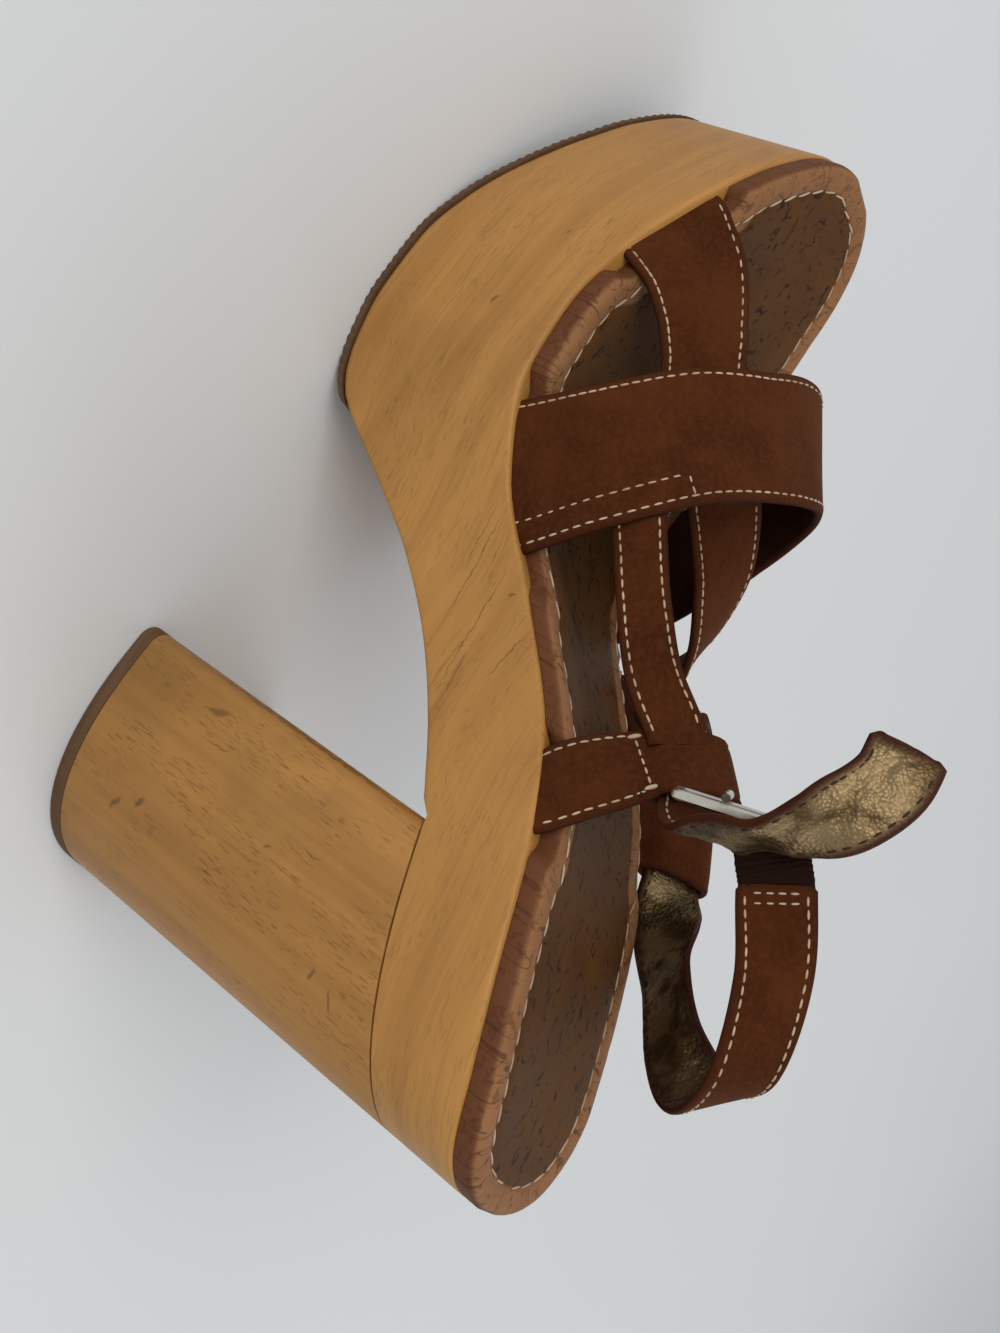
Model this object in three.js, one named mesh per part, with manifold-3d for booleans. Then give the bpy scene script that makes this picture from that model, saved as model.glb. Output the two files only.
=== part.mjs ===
// Platform sandal, left shoe, standing unbent on its sole.
// Millimetres. X runs from the back of the heel (0) to the toe, +Y is the lateral side, +Z is up.
import * as THREE from 'three';
import { mergeVertices } from 'three/addons/utils/BufferGeometryUtils.js';
import Module from 'manifold-3d';

const wasm = await Module();
wasm.setup();

// ---------------------------------------------------------------- driving dimensions
const SHOE_LENGTH = 233;
const FIT_GAP = 0.3;
const OUTSOLE_THICKNESS = 1.3;
const OUTSOLE_REAR_X = 117;
const OUTSOLE_PROUD = 0.5;
const TOP_LIFT_THICKNESS = 3.6;
const HEEL_LENGTH = 53;
const HEEL_CORNER_RADIUS = 4;
const INSOLE_THICKNESS = 5;
const INSOLE_INSET = 0.8;
const INSOLE_NOTCH = 2.6;
const STRAP_THICKNESS = 2.0;
const ANKLE_THICKNESS = 1.8;
const ANKLE_HALF_WIDTH = 7.5;
const ELASTIC_THICKNESS = 1.4;
const ELASTIC_NARROWER = 1.2;
const TUNNEL_HALF_GAP = 2.6;
const TUNNEL_DEPTH = 15.5;
const SIDE_STRAP_HALF_WIDTH = 8.4;
const BUCKLE_BAR = 2;
const BUCKLE_DEPTH = 9.8;
const BUCKLE_WIDTH = 19.4;
const PRONG_DIAMETER = 1.8;
const PRONG_HOLE = 3.2;
const PRONG_HOLE_OVERRUN = 2;
const BUCKLE_CORNER = 2;
const BUCKLE_HOLE_CORNER = 0.6;
const WOOD_EDGE_ROUND = 1.2;
const SEAT_FLARE = 2.5;
const INSOLE_EDGE_ROUND = 1.8;
const INSOLE_DISH = 0.8;
const INSOLE_END_MARGIN = 0.6;
const NOTCH_RAMP = 1.5;
const LOOP_TIP = 1.2;
const LOOP_STITCHED_HALF_GAP = 0.9;
const ANKLE_ABOVE_LOOP_MIDDLE = 0.4;
// distance between sections along the sole, and sections along each kind of strap
const WOOD_STEP = 6;
const INSOLE_STEP = 7;
const UPPER_SECTIONS = 36;
const STEM_SECTIONS = 18;
const LOOP_OUTER_SECTIONS = 22;
const LOOP_INNER_SECTIONS = 16;
const ELASTIC_SECTIONS = 8;
const ANKLE_SECTIONS = 96;
const ROUND_FACETS = 10;

// ---------------------------------------------------------------- tables, a row for each section
// top of the wood along the shoe: columns x, z
const TOP_ROWS = [
  [0, 126.8], [20, 122.7], [40, 115.9], [60, 107.7], [80, 95.6], [100, 75.8],
  [120, 56.4], [140, 47.6], [160, 46.3], [200, 50.4], [233, 54.5],
];
// underside of the shank and platform: columns x, z
const UNDER_ROWS = [
  [52, 85.6], [60, 79.6], [68, 73.4], [83, 59.2], [97, 41.2], [107.4, 23.7], [114.7, 11],
  [119, 5], [124, 2.4], [130, 1.6], [156, 1.6], [172, 2.9], [198, 7.5], [225, 13.2], [233, 15],
];
// sloped joint between the seat and the heel block: columns x, z
const JOINT_ROWS = [[0, 106.4], [53, 85.4]];
// outline of the wood before its ends are rounded: columns x, lateral, medial
const OUTLINE_ROWS = [
  [0, 23.4, 25.4], [10, 24, 26], [16, 25.2, 27], [26, 28.8, 28.6], [38, 31.2, 28.4], [52, 32.5, 27.2],
  [72, 32.8, 25.6], [94, 33.4, 26.2], [112, 36.5, 29.7], [130, 41.4, 35], [143, 44.2, 38.8],
  [157, 44.9, 40.8], [170, 43, 40.6], [183, 39.6, 38.8], [196, 34.6, 36], [209, 28.1, 31.8],
  [220, 23.4, 29.8], [233, 20.4, 28.6],
];
// how far the sole edge stands inside the top edge of the wood: columns x, inset
const UNDERCUT_LARGEST_SHARE = 0.3;
const UNDERCUT_ROWS = [[0, 0], [90, 0.6], [118, 3.2], [140, 1], [165, 1.4], [190, 3], [215, 4], [233, 4.5]];
const HEEL_ROUND = { length: 20, power: 2.3 };
const TOE_ROUND = { length: 26, power: 2.2, centreY: -2.5 };
const HEEL_OUTLINE = { lateral: 31.8, medial: 28.2, length: 46, power: 2.3 };
// where straps leave the footbed and the insole is cut back: columns from x, to x
const LATERAL_NOTCHES = [[60, 80], [102, 135.5], [173, 202.5]];
const MEDIAL_NOTCHES = [[69, 90], [92, 112], [113.5, 143.5]];

// straps: columns x, y, z of the centre line, then x, y, z of the direction across, then half width
const BAND_ROWS = [
  [118, 35.7, 53.7, 0.79, 0.19, -0.59, 16.8],
  [121.6, 36.3, 58.9, 0.79, 0.19, -0.59, 16.7],
  [132.2, 37.7, 71.2, 0.8, 0.12, -0.59, 15.9],
  [148.3, 31.4, 83.8, 0.81, 0.02, -0.58, 15.4],
  [160.7, 16.7, 90.9, 0.82, 0, -0.57, 14.7],
  [168.6, -0.3, 90.3, 0.82, 0, -0.57, 14.8],
  [168, -17, 84, 0.82, -0.05, -0.56, 15.3],
  [157, -29.5, 73.5, 0.83, -0.15, -0.52, 15.8],
  [142, -33.3, 62.5, 0.85, -0.22, -0.47, 16.4],
  [129, -32.4, 54.5, 0.87, -0.25, -0.42, 16.6],
  [124.4, -31.4, 50, 0.87, -0.25, -0.42, 16.6],
];
const CROSS_ROWS = [
  [187.6, 35.2, 44.6, 0.93, -0.35, 0.07, 13.8],
  [185.4, 35, 49.5, 0.94, -0.34, 0.07, 13.9],
  [179.8, 32.6, 58.6, 0.95, -0.31, 0.07, 12.2],
  [170.4, 29.6, 67, 0.9, -0.35, 0.27, 9.8],
  [164, 28.8, 71.6, 0.78, -0.36, 0.5, 9],
  [157.4, 27.9, 76, 0.66, -0.36, 0.66, 8.7],
  [151.5, 15, 80.5, 0.65, -0.5, 0.55, 8.7],
  [144.3, 0.3, 83.4, 0.63, -0.64, 0.41, 8.8],
  [135.6, -12.9, 85, 0.61, -0.77, 0.14, 9],
  [124, -24, 84, 0.5, -0.8, -0.3, 9.3],
  [112.5, -27.8, 80.6, 0.6, -0.5, -0.55, 9.8],
  [102.5, -25.6, 77, 0.7, -0.12, -0.68, 9.9],
  [99.5, -24.6, 71.5, 0.7, -0.12, -0.68, 9.9],
];
const STEM_ROWS = [
  [133.6, 33.8, 79.1, 0.55, -0.17, 0.82, 5.6],
  [128.4, 33.3, 82.8, 0.55, -0.17, 0.82, 5.6],
  [120, 31, 88.8, 0.56, -0.2, 0.8, 5.4],
  [112.9, 29.2, 94.2, 0.6, -0.25, 0.76, 5.4],
  [101.8, 25.8, 104, 0.66, -0.4, 0.64, 5.8],
  [95.2, 23, 113.1, 0.55, -0.5, 0.65, 6.2],
  [92.4, 23.4, 116.4, 0.5, -0.58, 0.64, 6.2],
];
// side straps rise from the footbed to a stitched loop
const LATERAL_SIDE = {
  rows: [[67, 30.6, 98.4], [69.8, 31.1, 102.4], [76, 31.2, 107.5]],
  stitch: [85.7, 26, 115],
  axis: [-0.607, 0.298, 0.738],
  up: [0.469, -0.6, 0.632],
};
const MEDIAL_SIDE = {
  rows: [[77.4, -22.7, 92.6], [78.6, -23.4, 96], [79.6, -25.6, 97.6]],
  stitch: [81, -28.8, 98.6],
  axis: [-0.8, 0.22, 0.55],
  up: [0.2, -0.74, 0.58],
};
// ankle strap, from its sewn end on the elastic round the back, through both loops, to the tail
const ANKLE_BACK_ROWS = [
  [80.8, 19.3, 146.8, 0.66, -0.1, 0.75],
  [66.5, 17.2, 155.7, 0.5, -0.5, 0.68],
  [49, 10.5, 159.4, 0.5, -0.68, 0.53],
  [42.2, -3, 151.5, 0.8, -0.42, 0.42],
  [46.6, -13.5, 137.5, 0.88, 0.25, 0.35],
  [57.2, -22, 124.6, 0.72, 0.5, 0.42],
  [66.6, -28.8, 115.4, 0.55, 0, 0.7],
];
const ANKLE_FRONT_ROWS = [
  [95.5, -34.8, 97.4, 0.32, -0.5, 0.8],
  [100.5, -24, 96.4, 0.4, -0.1, 0.9],
  [102, -9, 98.4, 0.42, 0.1, 0.9],
  [101, 5, 102.2, 0.45, -0.1, 0.87],
  [97.5, 13.8, 107.8, 0.48, -0.45, 0.74],
];
const ANKLE_TAIL_ROWS = [
  [81.4, 27.6, 130.2, 0.42, -0.45, 0.78],
  [79.8, 31.4, 134.4, 0.35, -0.4, 0.85],
  [81.4, 34, 138.8, 0.3, -0.5, 0.8],
  [85, 34.4, 144.8, 0.3, -0.85, 0.4],
  [90.2, 33.8, 150, 0.1, -0.8, 0.55],
  [98.2, 32.6, 155.2, -0.15, -0.4, 0.9],
  [105.6, 31.8, 157.4, 0, -0.35, 0.92],
  [112.7, 31.2, 156.4, 0.15, -0.33, 0.91],
];
const ELASTIC_ROWS = [
  [88.5, 23, 141.8, 0.4, -0.3, 0.86],
  [85, 21.4, 143.4, 0.5, -0.2, 0.82],
  [82.2, 20.2, 145.7, 0.66, -0.1, 0.75],
];
// buckle frame: middle of its outer bar, the direction across the strap, and the direction inwards
const BUCKLE = { outer: [84.8, 35.9, 136.3], across: [0.3, -0.28, 0.91], inwards: [0.32, -0.95, -0.05] };

// ---------------------------------------------------------------- curves through a table
// smooth curve through rows [x, value...] that never overshoots between two rows
function tableCurve(rows, column) {
  const xs = rows.map((row) => row[0]);
  const ys = rows.map((row) => row[column]);
  const slopes = xs.slice(1).map((x, i) => (ys[i + 1] - ys[i]) / (x - xs[i]));
  const tangents = ys.map((y, i) => {
    if (i === 0) return slopes[0];
    if (i === ys.length - 1) return slopes[i - 1];
    if (slopes[i - 1] * slopes[i] <= 0) return 0;
    const before = xs[i] - xs[i - 1];
    const after = xs[i + 1] - xs[i];
    const w1 = 2 * after + before;
    const w2 = after + 2 * before;
    return (w1 + w2) / (w1 / slopes[i - 1] + w2 / slopes[i]);
  });
  return (x) => {
    const held = Math.min(Math.max(x, xs[0]), xs[xs.length - 1]);
    let i = 0;
    while (i < xs.length - 2 && held > xs[i + 1]) i += 1;
    const h = xs[i + 1] - xs[i];
    const t = (held - xs[i]) / h;
    const a = (1 + 2 * t) * (1 - t) ** 2;
    const b = t * (1 - t) ** 2;
    const c = t * t * (3 - 2 * t);
    const d = t * t * (t - 1);
    return a * ys[i] + b * h * tangents[i] + c * ys[i + 1] + d * h * tangents[i + 1];
  };
}

const topZ = tableCurve(TOP_ROWS, 1);
const underZ = tableCurve(UNDER_ROWS, 1);
const jointZ = tableCurve(JOINT_ROWS, 1);
const undercutRow = tableCurve(UNDERCUT_ROWS, 1);
const lateralBody = tableCurve(OUTLINE_ROWS, 1);
const medialBody = tableCurve(OUTLINE_ROWS, 2);

function roundEnd(distance, length, power) {
  const part = Math.min(Math.max(1 - distance / length, 0), 1);
  return (1 - part ** power) ** (1 / power);
}

// half widths of the wood's top edge, with the heel seat and the toe rounded
function lateralY(x) {
  const heel = roundEnd(x, HEEL_ROUND.length, HEEL_ROUND.power);
  const toe = roundEnd(SHOE_LENGTH - x, TOE_ROUND.length, TOE_ROUND.power);
  return TOE_ROUND.centreY + (lateralBody(x) * heel - TOE_ROUND.centreY) * toe;
}

function medialY(x) {
  const heel = roundEnd(x, HEEL_ROUND.length, HEEL_ROUND.power);
  const toe = roundEnd(SHOE_LENGTH - x, TOE_ROUND.length, TOE_ROUND.power);
  return TOE_ROUND.centreY - (medialBody(x) * heel + TOE_ROUND.centreY) * toe;
}

// stations along the shoe, close together round both ends
function stations(fromX, toX, heelEnd, toeEnd, step) {
  const list = [];
  const roundSteps = 8;
  const firstAngle = 0.16;
  const heelLimit = heelEnd ? fromX + HEEL_ROUND.length : fromX;
  const toeLimit = toeEnd ? toX - TOE_ROUND.length : toX;
  if (heelEnd) {
    for (let i = 0; i < roundSteps; i += 1) {
      const angle = firstAngle + ((Math.PI / 2 - firstAngle) * i) / roundSteps;
      list.push(fromX + HEEL_ROUND.length * (1 - Math.cos(angle)));
    }
  }
  const count = Math.round((toeLimit - heelLimit) / step);
  for (let i = 0; i <= count; i += 1) list.push(heelLimit + ((toeLimit - heelLimit) * i) / count);
  if (toeEnd) {
    for (let i = roundSteps - 1; i >= 0; i -= 1) {
      const angle = firstAngle + ((Math.PI / 2 - firstAngle) * i) / roundSteps;
      list.push(toX - TOE_ROUND.length * (1 - Math.cos(angle)));
    }
  }
  return list;
}

// ---------------------------------------------------------------- solids
// closed skin over a row of rings that all have the same number of points
function loft(rings) {
  const size = rings[0].length;
  const positions = [];
  rings.forEach((ring) => ring.forEach((p) => positions.push(p.x, p.y, p.z)));
  const index = [];
  for (let i = 0; i < rings.length - 1; i += 1) {
    for (let j = 0; j < size; j += 1) {
      const a = i * size + j;
      const b = i * size + ((j + 1) % size);
      index.push(a, b, a + size, b, b + size, a + size);
    }
  }
  [0, rings.length - 1].forEach((which) => {
    const centre = new THREE.Vector3();
    rings[which].forEach((p) => centre.addScaledVector(p, 1 / size));
    positions.push(centre.x, centre.y, centre.z);
    const middle = positions.length / 3 - 1;
    for (let j = 0; j < size; j += 1) {
      const a = which * size + j;
      const b = which * size + ((j + 1) % size);
      if (which === 0) index.push(b, a, middle);
      else index.push(a, b, middle);
    }
  });
  const geometry = new THREE.BufferGeometry();
  geometry.setAttribute('position', new THREE.Float32BufferAttribute(positions, 3));
  geometry.setIndex(index);
  return facingOut(geometry);
}

// turns every triangle over if the skin encloses a negative volume
function facingOut(geometry) {
  const p = geometry.attributes.position;
  const index = geometry.index.array;
  const [a, b, c] = [new THREE.Vector3(), new THREE.Vector3(), new THREE.Vector3()];
  let volume = 0;
  for (let i = 0; i < index.length; i += 3) {
    a.fromBufferAttribute(p, index[i]);
    b.fromBufferAttribute(p, index[i + 1]);
    c.fromBufferAttribute(p, index[i + 2]);
    volume += a.dot(b.cross(c));
  }
  if (volume < 0) {
    for (let i = 0; i < index.length; i += 3) [index[i], index[i + 1]] = [index[i + 1], index[i]];
  }
  return geometry;
}

function toSolid(geometry) {
  const bare = geometry.clone();
  bare.deleteAttribute('normal');
  bare.deleteAttribute('uv');
  const merged = mergeVertices(bare, 1e-4);
  return new wasm.Manifold(new wasm.Mesh({
    numProp: 3,
    vertProperties: new Float32Array(merged.attributes.position.array),
    triVerts: new Uint32Array(merged.index.array),
  }));
}

function toGeometry(solid) {
  const mesh = solid.getMesh();
  const geometry = new THREE.BufferGeometry();
  geometry.setAttribute('position', new THREE.Float32BufferAttribute(mesh.vertProperties, 3));
  geometry.setIndex(new THREE.BufferAttribute(mesh.triVerts, 1));
  return geometry;
}

const vec = (list) => new THREE.Vector3(list[0], list[1], list[2]);

// strap of even thickness along its rows, given by centre, direction across and half width
function ribbon(rows, thickness, steps, halfWidth) {
  const centre = new THREE.CatmullRomCurve3(rows.map((row) => vec(row)), false, 'centripetal');
  const across = new THREE.CatmullRomCurve3(rows.map((row) => vec(row.slice(3))), false, 'centripetal');
  const rings = [];
  for (let i = 0; i <= steps; i += 1) {
    const t = i / steps;
    const at = centre.getPoint(t);
    const along = centre.getTangent(t);
    const side = across.getPoint(t);
    side.addScaledVector(along, -side.dot(along)).normalize();
    const out = new THREE.Vector3().crossVectors(along, side);
    const span = t * (rows.length - 1);
    const row = Math.min(Math.floor(span), rows.length - 2);
    const half = halfWidth ?? THREE.MathUtils.lerp(rows[row][6], rows[row + 1][6], span - row);
    rings.push([[1, 1], [-1, 1], [-1, -1], [1, -1]].map(([s, n]) => at.clone()
      .addScaledVector(side, s * half)
      .addScaledVector(out, (n * thickness) / 2)));
  }
  return loft(rings);
}

// how far the bottom edge is tucked in under the top edge, less where the toe narrows
function undercut(x) {
  return Math.min(undercutRow(x), (lateralY(x) - medialY(x)) * UNDERCUT_LARGEST_SHARE);
}

// the wood, or the same form grown by a clearance
function woodGeometry(grow) {
  const xs = stations(0, SHOE_LENGTH, true, true, WOOD_STEP);
  const seat = xs.filter((x) => x < HEEL_LENGTH - WOOD_STEP / 2);
  const joint = HEEL_LENGTH + 2 * FIT_GAP;
  const all = [...seat, joint, ...xs.filter((x) => x > joint + 1)];
  return loft(all.map((x) => {
    const lat = lateralY(x) + grow;
    const med = medialY(x) - grow;
    const top = topZ(x) + grow;
    const inHeel = x <= joint;
    const bottom = (inHeel ? jointZ(x) + FIT_GAP : underZ(x)) - grow;
    const latSeat = Math.min(heelHalf(x, HEEL_OUTLINE.lateral), lat + SEAT_FLARE);
    const medSeat = Math.max(-heelHalf(x, HEEL_OUTLINE.medial), med - SEAT_FLARE);
    const latLow = inHeel ? latSeat : lat - undercut(x);
    const medLow = inHeel ? medSeat : med + undercut(x);
    const edge = WOOD_EDGE_ROUND;
    const round = Math.min(edge, (lat - med) / 8, (latLow - medLow) / 4);
    return [
      [latLow - round, bottom], [latLow, bottom + edge], [lat, top - edge], [lat - round, top],
      [med + round, top], [med, top - edge], [medLow, bottom + edge], [medLow + round, bottom],
    ].map(([y, z]) => new THREE.Vector3(x, y, z));
  }));
}

function heelHalf(x, width) {
  return width * roundEnd(x, HEEL_OUTLINE.length, HEEL_OUTLINE.power);
}

// outline of the heel block seen from above: flat breast, rounded corners, rounded back
function heelOutline() {
  const points = [];
  const sideSteps = 14;
  const cornerSteps = 3;
  const front = HEEL_LENGTH;
  const r = HEEL_CORNER_RADIUS;
  [[1, HEEL_OUTLINE.lateral], [-1, HEEL_OUTLINE.medial]].forEach(([sign, width]) => {
    const side = [];
    for (let i = sign > 0 ? 0 : 1; i <= sideSteps; i += 1) {
      const angle = (Math.PI / 2) * (i / sideSteps);
      const x = HEEL_OUTLINE.length * (1 - Math.cos(angle));
      side.push([x, sign * heelHalf(x, width)]);
    }
    for (let i = 0; i <= cornerSteps; i += 1) {
      const angle = (Math.PI / 2) * (i / cornerSteps);
      side.push([front - r + r * Math.sin(angle), sign * (width - r + r * Math.cos(angle))]);
    }
    points.push(sign > 0 ? side : side.reverse());
  });
  return [...points[0], ...points[1]];
}

function heelGeometry() {
  const outline = heelOutline();
  const base = TOP_LIFT_THICKNESS + FIT_GAP;
  return loft([
    outline.map(([x, y]) => new THREE.Vector3(x, y, base)),
    outline.map(([x, y]) => new THREE.Vector3(x, y, jointZ(x) - FIT_GAP / 2)),
  ]);
}

function topLiftGeometry() {
  const outline = heelOutline();
  return loft([0, TOP_LIFT_THICKNESS].map((z) => outline.map(([x, y]) => new THREE.Vector3(x, y, z))));
}

function outsoleGeometry() {
  const xs = stations(OUTSOLE_REAR_X, SHOE_LENGTH + OUTSOLE_PROUD - 2, false, true, WOOD_STEP);
  const flat = [130, 156];
  const all = [...xs, ...flat].sort((a, b) => a - b);
  return loft(all.map((x) => {
    const top = underZ(x) - FIT_GAP;
    const lat = lateralY(x) - undercut(x) + OUTSOLE_PROUD;
    const med = medialY(x) + undercut(x) - OUTSOLE_PROUD;
    return [
      [lat, top], [lat, top - OUTSOLE_THICKNESS], [med, top - OUTSOLE_THICKNESS], [med, top],
    ].map(([y, z]) => new THREE.Vector3(x, y, z));
  }));
}

// how far the insole stands back from the wood's edge, deeper where a strap goes down
function insoleInset(x, notches) {
  const ramp = (distance) => distance / NOTCH_RAMP + 1;
  const cut = notches.map(([from, to]) => Math.min(ramp(x - from), ramp(to - x), 1));
  return INSOLE_INSET + INSOLE_NOTCH * Math.max(0, ...cut);
}

function insoleGeometry(grow) {
  const notches = [...LATERAL_NOTCHES, ...MEDIAL_NOTCHES];
  const notchEdges = notches.flatMap(([a, b]) => [a - NOTCH_RAMP, a, b, b + NOTCH_RAMP]);
  const regular = stations(0.2, SHOE_LENGTH - INSOLE_END_MARGIN, true, true, INSOLE_STEP);
  const xs = [...regular, ...notchEdges].sort((a, b) => a - b);
  return loft(xs.map((x) => {
    const lat = lateralY(x) - insoleInset(x, LATERAL_NOTCHES) + grow;
    const med = medialY(x) + insoleInset(x, MEDIAL_NOTCHES) - grow;
    const half = Math.max((lat - med) / 2, 0.8);
    const mid = (lat + med) / 2;
    const base = topZ(x) + FIT_GAP - grow;
    const top = topZ(x) + FIT_GAP + INSOLE_THICKNESS + grow;
    const edge = INSOLE_EDGE_ROUND;
    const r = Math.min(edge, half / 2);
    return [
      [half - r * 0.5, base], [half, base + edge], [half, top - edge], [half - r, top],
      [0, top - INSOLE_DISH * Math.min(1, half / 20)],
      [r - half, top], [-half, top - edge], [-half, base + edge], [r * 0.5 - half, base],
    ].map(([y, z]) => new THREE.Vector3(x, mid + y, z));
  }));
}

// side strap with a stitched loop at its end that the ankle strap runs through
function loopFrame(side) {
  const axis = vec(side.axis).normalize();
  const up = vec(side.up).addScaledVector(axis, -vec(side.up).dot(axis)).normalize();
  const out = new THREE.Vector3().crossVectors(axis, up);
  return { axis, up, out, origin: vec(side.stitch) };
}

function loopPoint(frame, upBy, outBy, alongBy) {
  return frame.origin.clone()
    .addScaledVector(frame.up, upBy)
    .addScaledVector(frame.out, outBy)
    .addScaledVector(frame.axis, alongBy);
}

function sideStrap(side, outwards) {
  const frame = loopFrame(side);
  const gap = TUNNEL_HALF_GAP * outwards;
  const row = (upBy, outBy) => {
    const p = loopPoint(frame, upBy, outBy, 0);
    return [p.x, p.y, p.z, ...frame.axis.toArray()];
  };
  const foot = side.rows.map((p) => [...p, -0.78, 0, 0.62]);
  const stitched = LOOP_STITCHED_HALF_GAP * outwards;
  const tip = TUNNEL_DEPTH + LOOP_TIP;
  const bend = TUNNEL_DEPTH + LOOP_TIP / 2;
  const outer = [
    ...foot, row(0, stitched), row(2.5, gap * 0.9), row(6, gap), row(TUNNEL_DEPTH - 2, gap),
    row(bend, gap * 0.6), row(tip, 0),
  ];
  const inner = [
    row(bend + 0.1, gap * 0.55), row(tip, 0), row(bend, -gap * 0.6), row(TUNNEL_DEPTH - 2, -gap),
    row(6, -gap), row(2.5, -gap * 0.9), row(0, -stitched), row(-3, -stitched / 3),
  ];
  const first = toSolid(ribbon(outer, STRAP_THICKNESS, LOOP_OUTER_SECTIONS, SIDE_STRAP_HALF_WIDTH));
  const second = toSolid(ribbon(inner, STRAP_THICKNESS, LOOP_INNER_SECTIONS, SIDE_STRAP_HALF_WIDTH));
  return first.add(second);
}

const woodClear = toSolid(woodGeometry(FIT_GAP));
const insoleClear = toSolid(insoleGeometry(FIT_GAP));

// what is left of a strap above the footbed and round the ankle strap
function trimmed(solid) {
  const bodies = solid.subtract(woodClear).subtract(insoleClear).subtract(ankleClear()).decompose();
  return bodies.reduce((best, body) => (body.volume() > best.volume() ? body : best));
}

function upperSolid() {
  const band = toSolid(ribbon(BAND_ROWS, STRAP_THICKNESS, UPPER_SECTIONS));
  const cross = toSolid(ribbon(CROSS_ROWS, STRAP_THICKNESS, UPPER_SECTIONS));
  const stem = toSolid(ribbon(STEM_ROWS, STRAP_THICKNESS, STEM_SECTIONS));
  return trimmed(band.add(cross).add(stem).add(sideStrap(LATERAL_SIDE, 1)));
}

function throughLoop(side) {
  const frame = loopFrame(side);
  const half = SIDE_STRAP_HALF_WIDTH;
  return [-half, 0, half].map((alongBy) => {
    const p = loopPoint(frame, TUNNEL_DEPTH / 2 + ANKLE_ABOVE_LOOP_MIDDLE, 0, alongBy);
    return [p.x, p.y, p.z, ...frame.up.toArray()];
  });
}

function ankleRows() {
  return [
    ...ANKLE_BACK_ROWS,
    ...throughLoop(MEDIAL_SIDE).reverse(),
    ...ANKLE_FRONT_ROWS,
    ...throughLoop(LATERAL_SIDE),
    ...ANKLE_TAIL_ROWS,
  ];
}

function buckleFrameAxes() {
  const across = vec(BUCKLE.across).normalize();
  const inwards = vec(BUCKLE.inwards);
  inwards.addScaledVector(across, -inwards.dot(across)).normalize();
  const face = new THREE.Vector3().crossVectors(across, inwards);
  return new THREE.Matrix4().makeBasis(across, inwards, face).setPosition(vec(BUCKLE.outer));
}

function buckleGeometry() {
  const half = BUCKLE_WIDTH / 2;
  const shape = new THREE.Shape();
  const outline = (path, w, low, high, r) => {
    path.moveTo(-w + r, low);
    path.lineTo(w - r, low);
    path.absarc(w - r, low + r, r, -Math.PI / 2, 0, false);
    path.lineTo(w, high - r);
    path.absarc(w - r, high - r, r, 0, Math.PI / 2, false);
    path.lineTo(-w + r, high);
    path.absarc(-w + r, high - r, r, Math.PI / 2, Math.PI, false);
    path.lineTo(-w, low + r);
    path.absarc(-w + r, low + r, r, Math.PI, Math.PI * 1.5, false);
  };
  outline(shape, half, -BUCKLE_BAR / 2, BUCKLE_DEPTH + BUCKLE_BAR / 2, BUCKLE_CORNER);
  const hole = new THREE.Path();
  outline(hole, half - BUCKLE_BAR, BUCKLE_BAR / 2, BUCKLE_DEPTH - BUCKLE_BAR / 2, BUCKLE_HOLE_CORNER);
  shape.holes.push(hole);
  const extrusion = { depth: BUCKLE_BAR, bevelEnabled: false, curveSegments: 3 };
  const geometry = new THREE.ExtrudeGeometry(shape, extrusion);
  geometry.translate(0, 0, -BUCKLE_BAR / 2);
  return geometry.applyMatrix4(buckleFrameAxes());
}

// pin from the inner bar to the outer bar, resting on the toe side of the frame
function prongGeometry(diameter, overrun) {
  const lift = BUCKLE_BAR / 2 + PRONG_DIAMETER / 2 + FIT_GAP;
  const length = BUCKLE_DEPTH + BUCKLE_BAR / 2 + overrun;
  const geometry = new THREE.CylinderGeometry(diameter / 2, diameter / 2, length, ROUND_FACETS);
  geometry.translate(0, BUCKLE_DEPTH / 2, lift);
  return geometry.applyMatrix4(buckleFrameAxes());
}

function ankleClear() {
  const thickness = ANKLE_THICKNESS + 2 * FIT_GAP;
  return toSolid(ribbon(ankleRows(), thickness, ANKLE_SECTIONS, ANKLE_HALF_WIDTH + FIT_GAP));
}

function ankleSolid() {
  const strap = toSolid(ribbon(ankleRows(), ANKLE_THICKNESS, ANKLE_SECTIONS, ANKLE_HALF_WIDTH));
  return strap.subtract(toSolid(prongGeometry(PRONG_HOLE, PRONG_HOLE_OVERRUN)));
}

// ---------------------------------------------------------------- finishes and scene graph
const WOOD = { color: 0xc2914f, roughness: 0.55, metalness: 0 };
const RUBBER = { color: 0x4a3527, roughness: 0.8, metalness: 0 };
const CORK = { color: 0x8a6a50, roughness: 0.75, metalness: 0 };
const SUEDE = { color: 0x6e3b22, roughness: 0.95, metalness: 0 };
const ELASTIC = { color: 0x3b2320, roughness: 0.9, metalness: 0 };
const METAL = { color: 0xb8b8b4, roughness: 0.3, metalness: 1 };

const shoe = new THREE.Group();
shoe.name = 'platform_sandal';

function addPiece(name, geometry, finish) {
  const mesh = new THREE.Mesh(geometry, new THREE.MeshStandardMaterial(finish));
  mesh.name = name;
  shoe.add(mesh);
}

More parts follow.
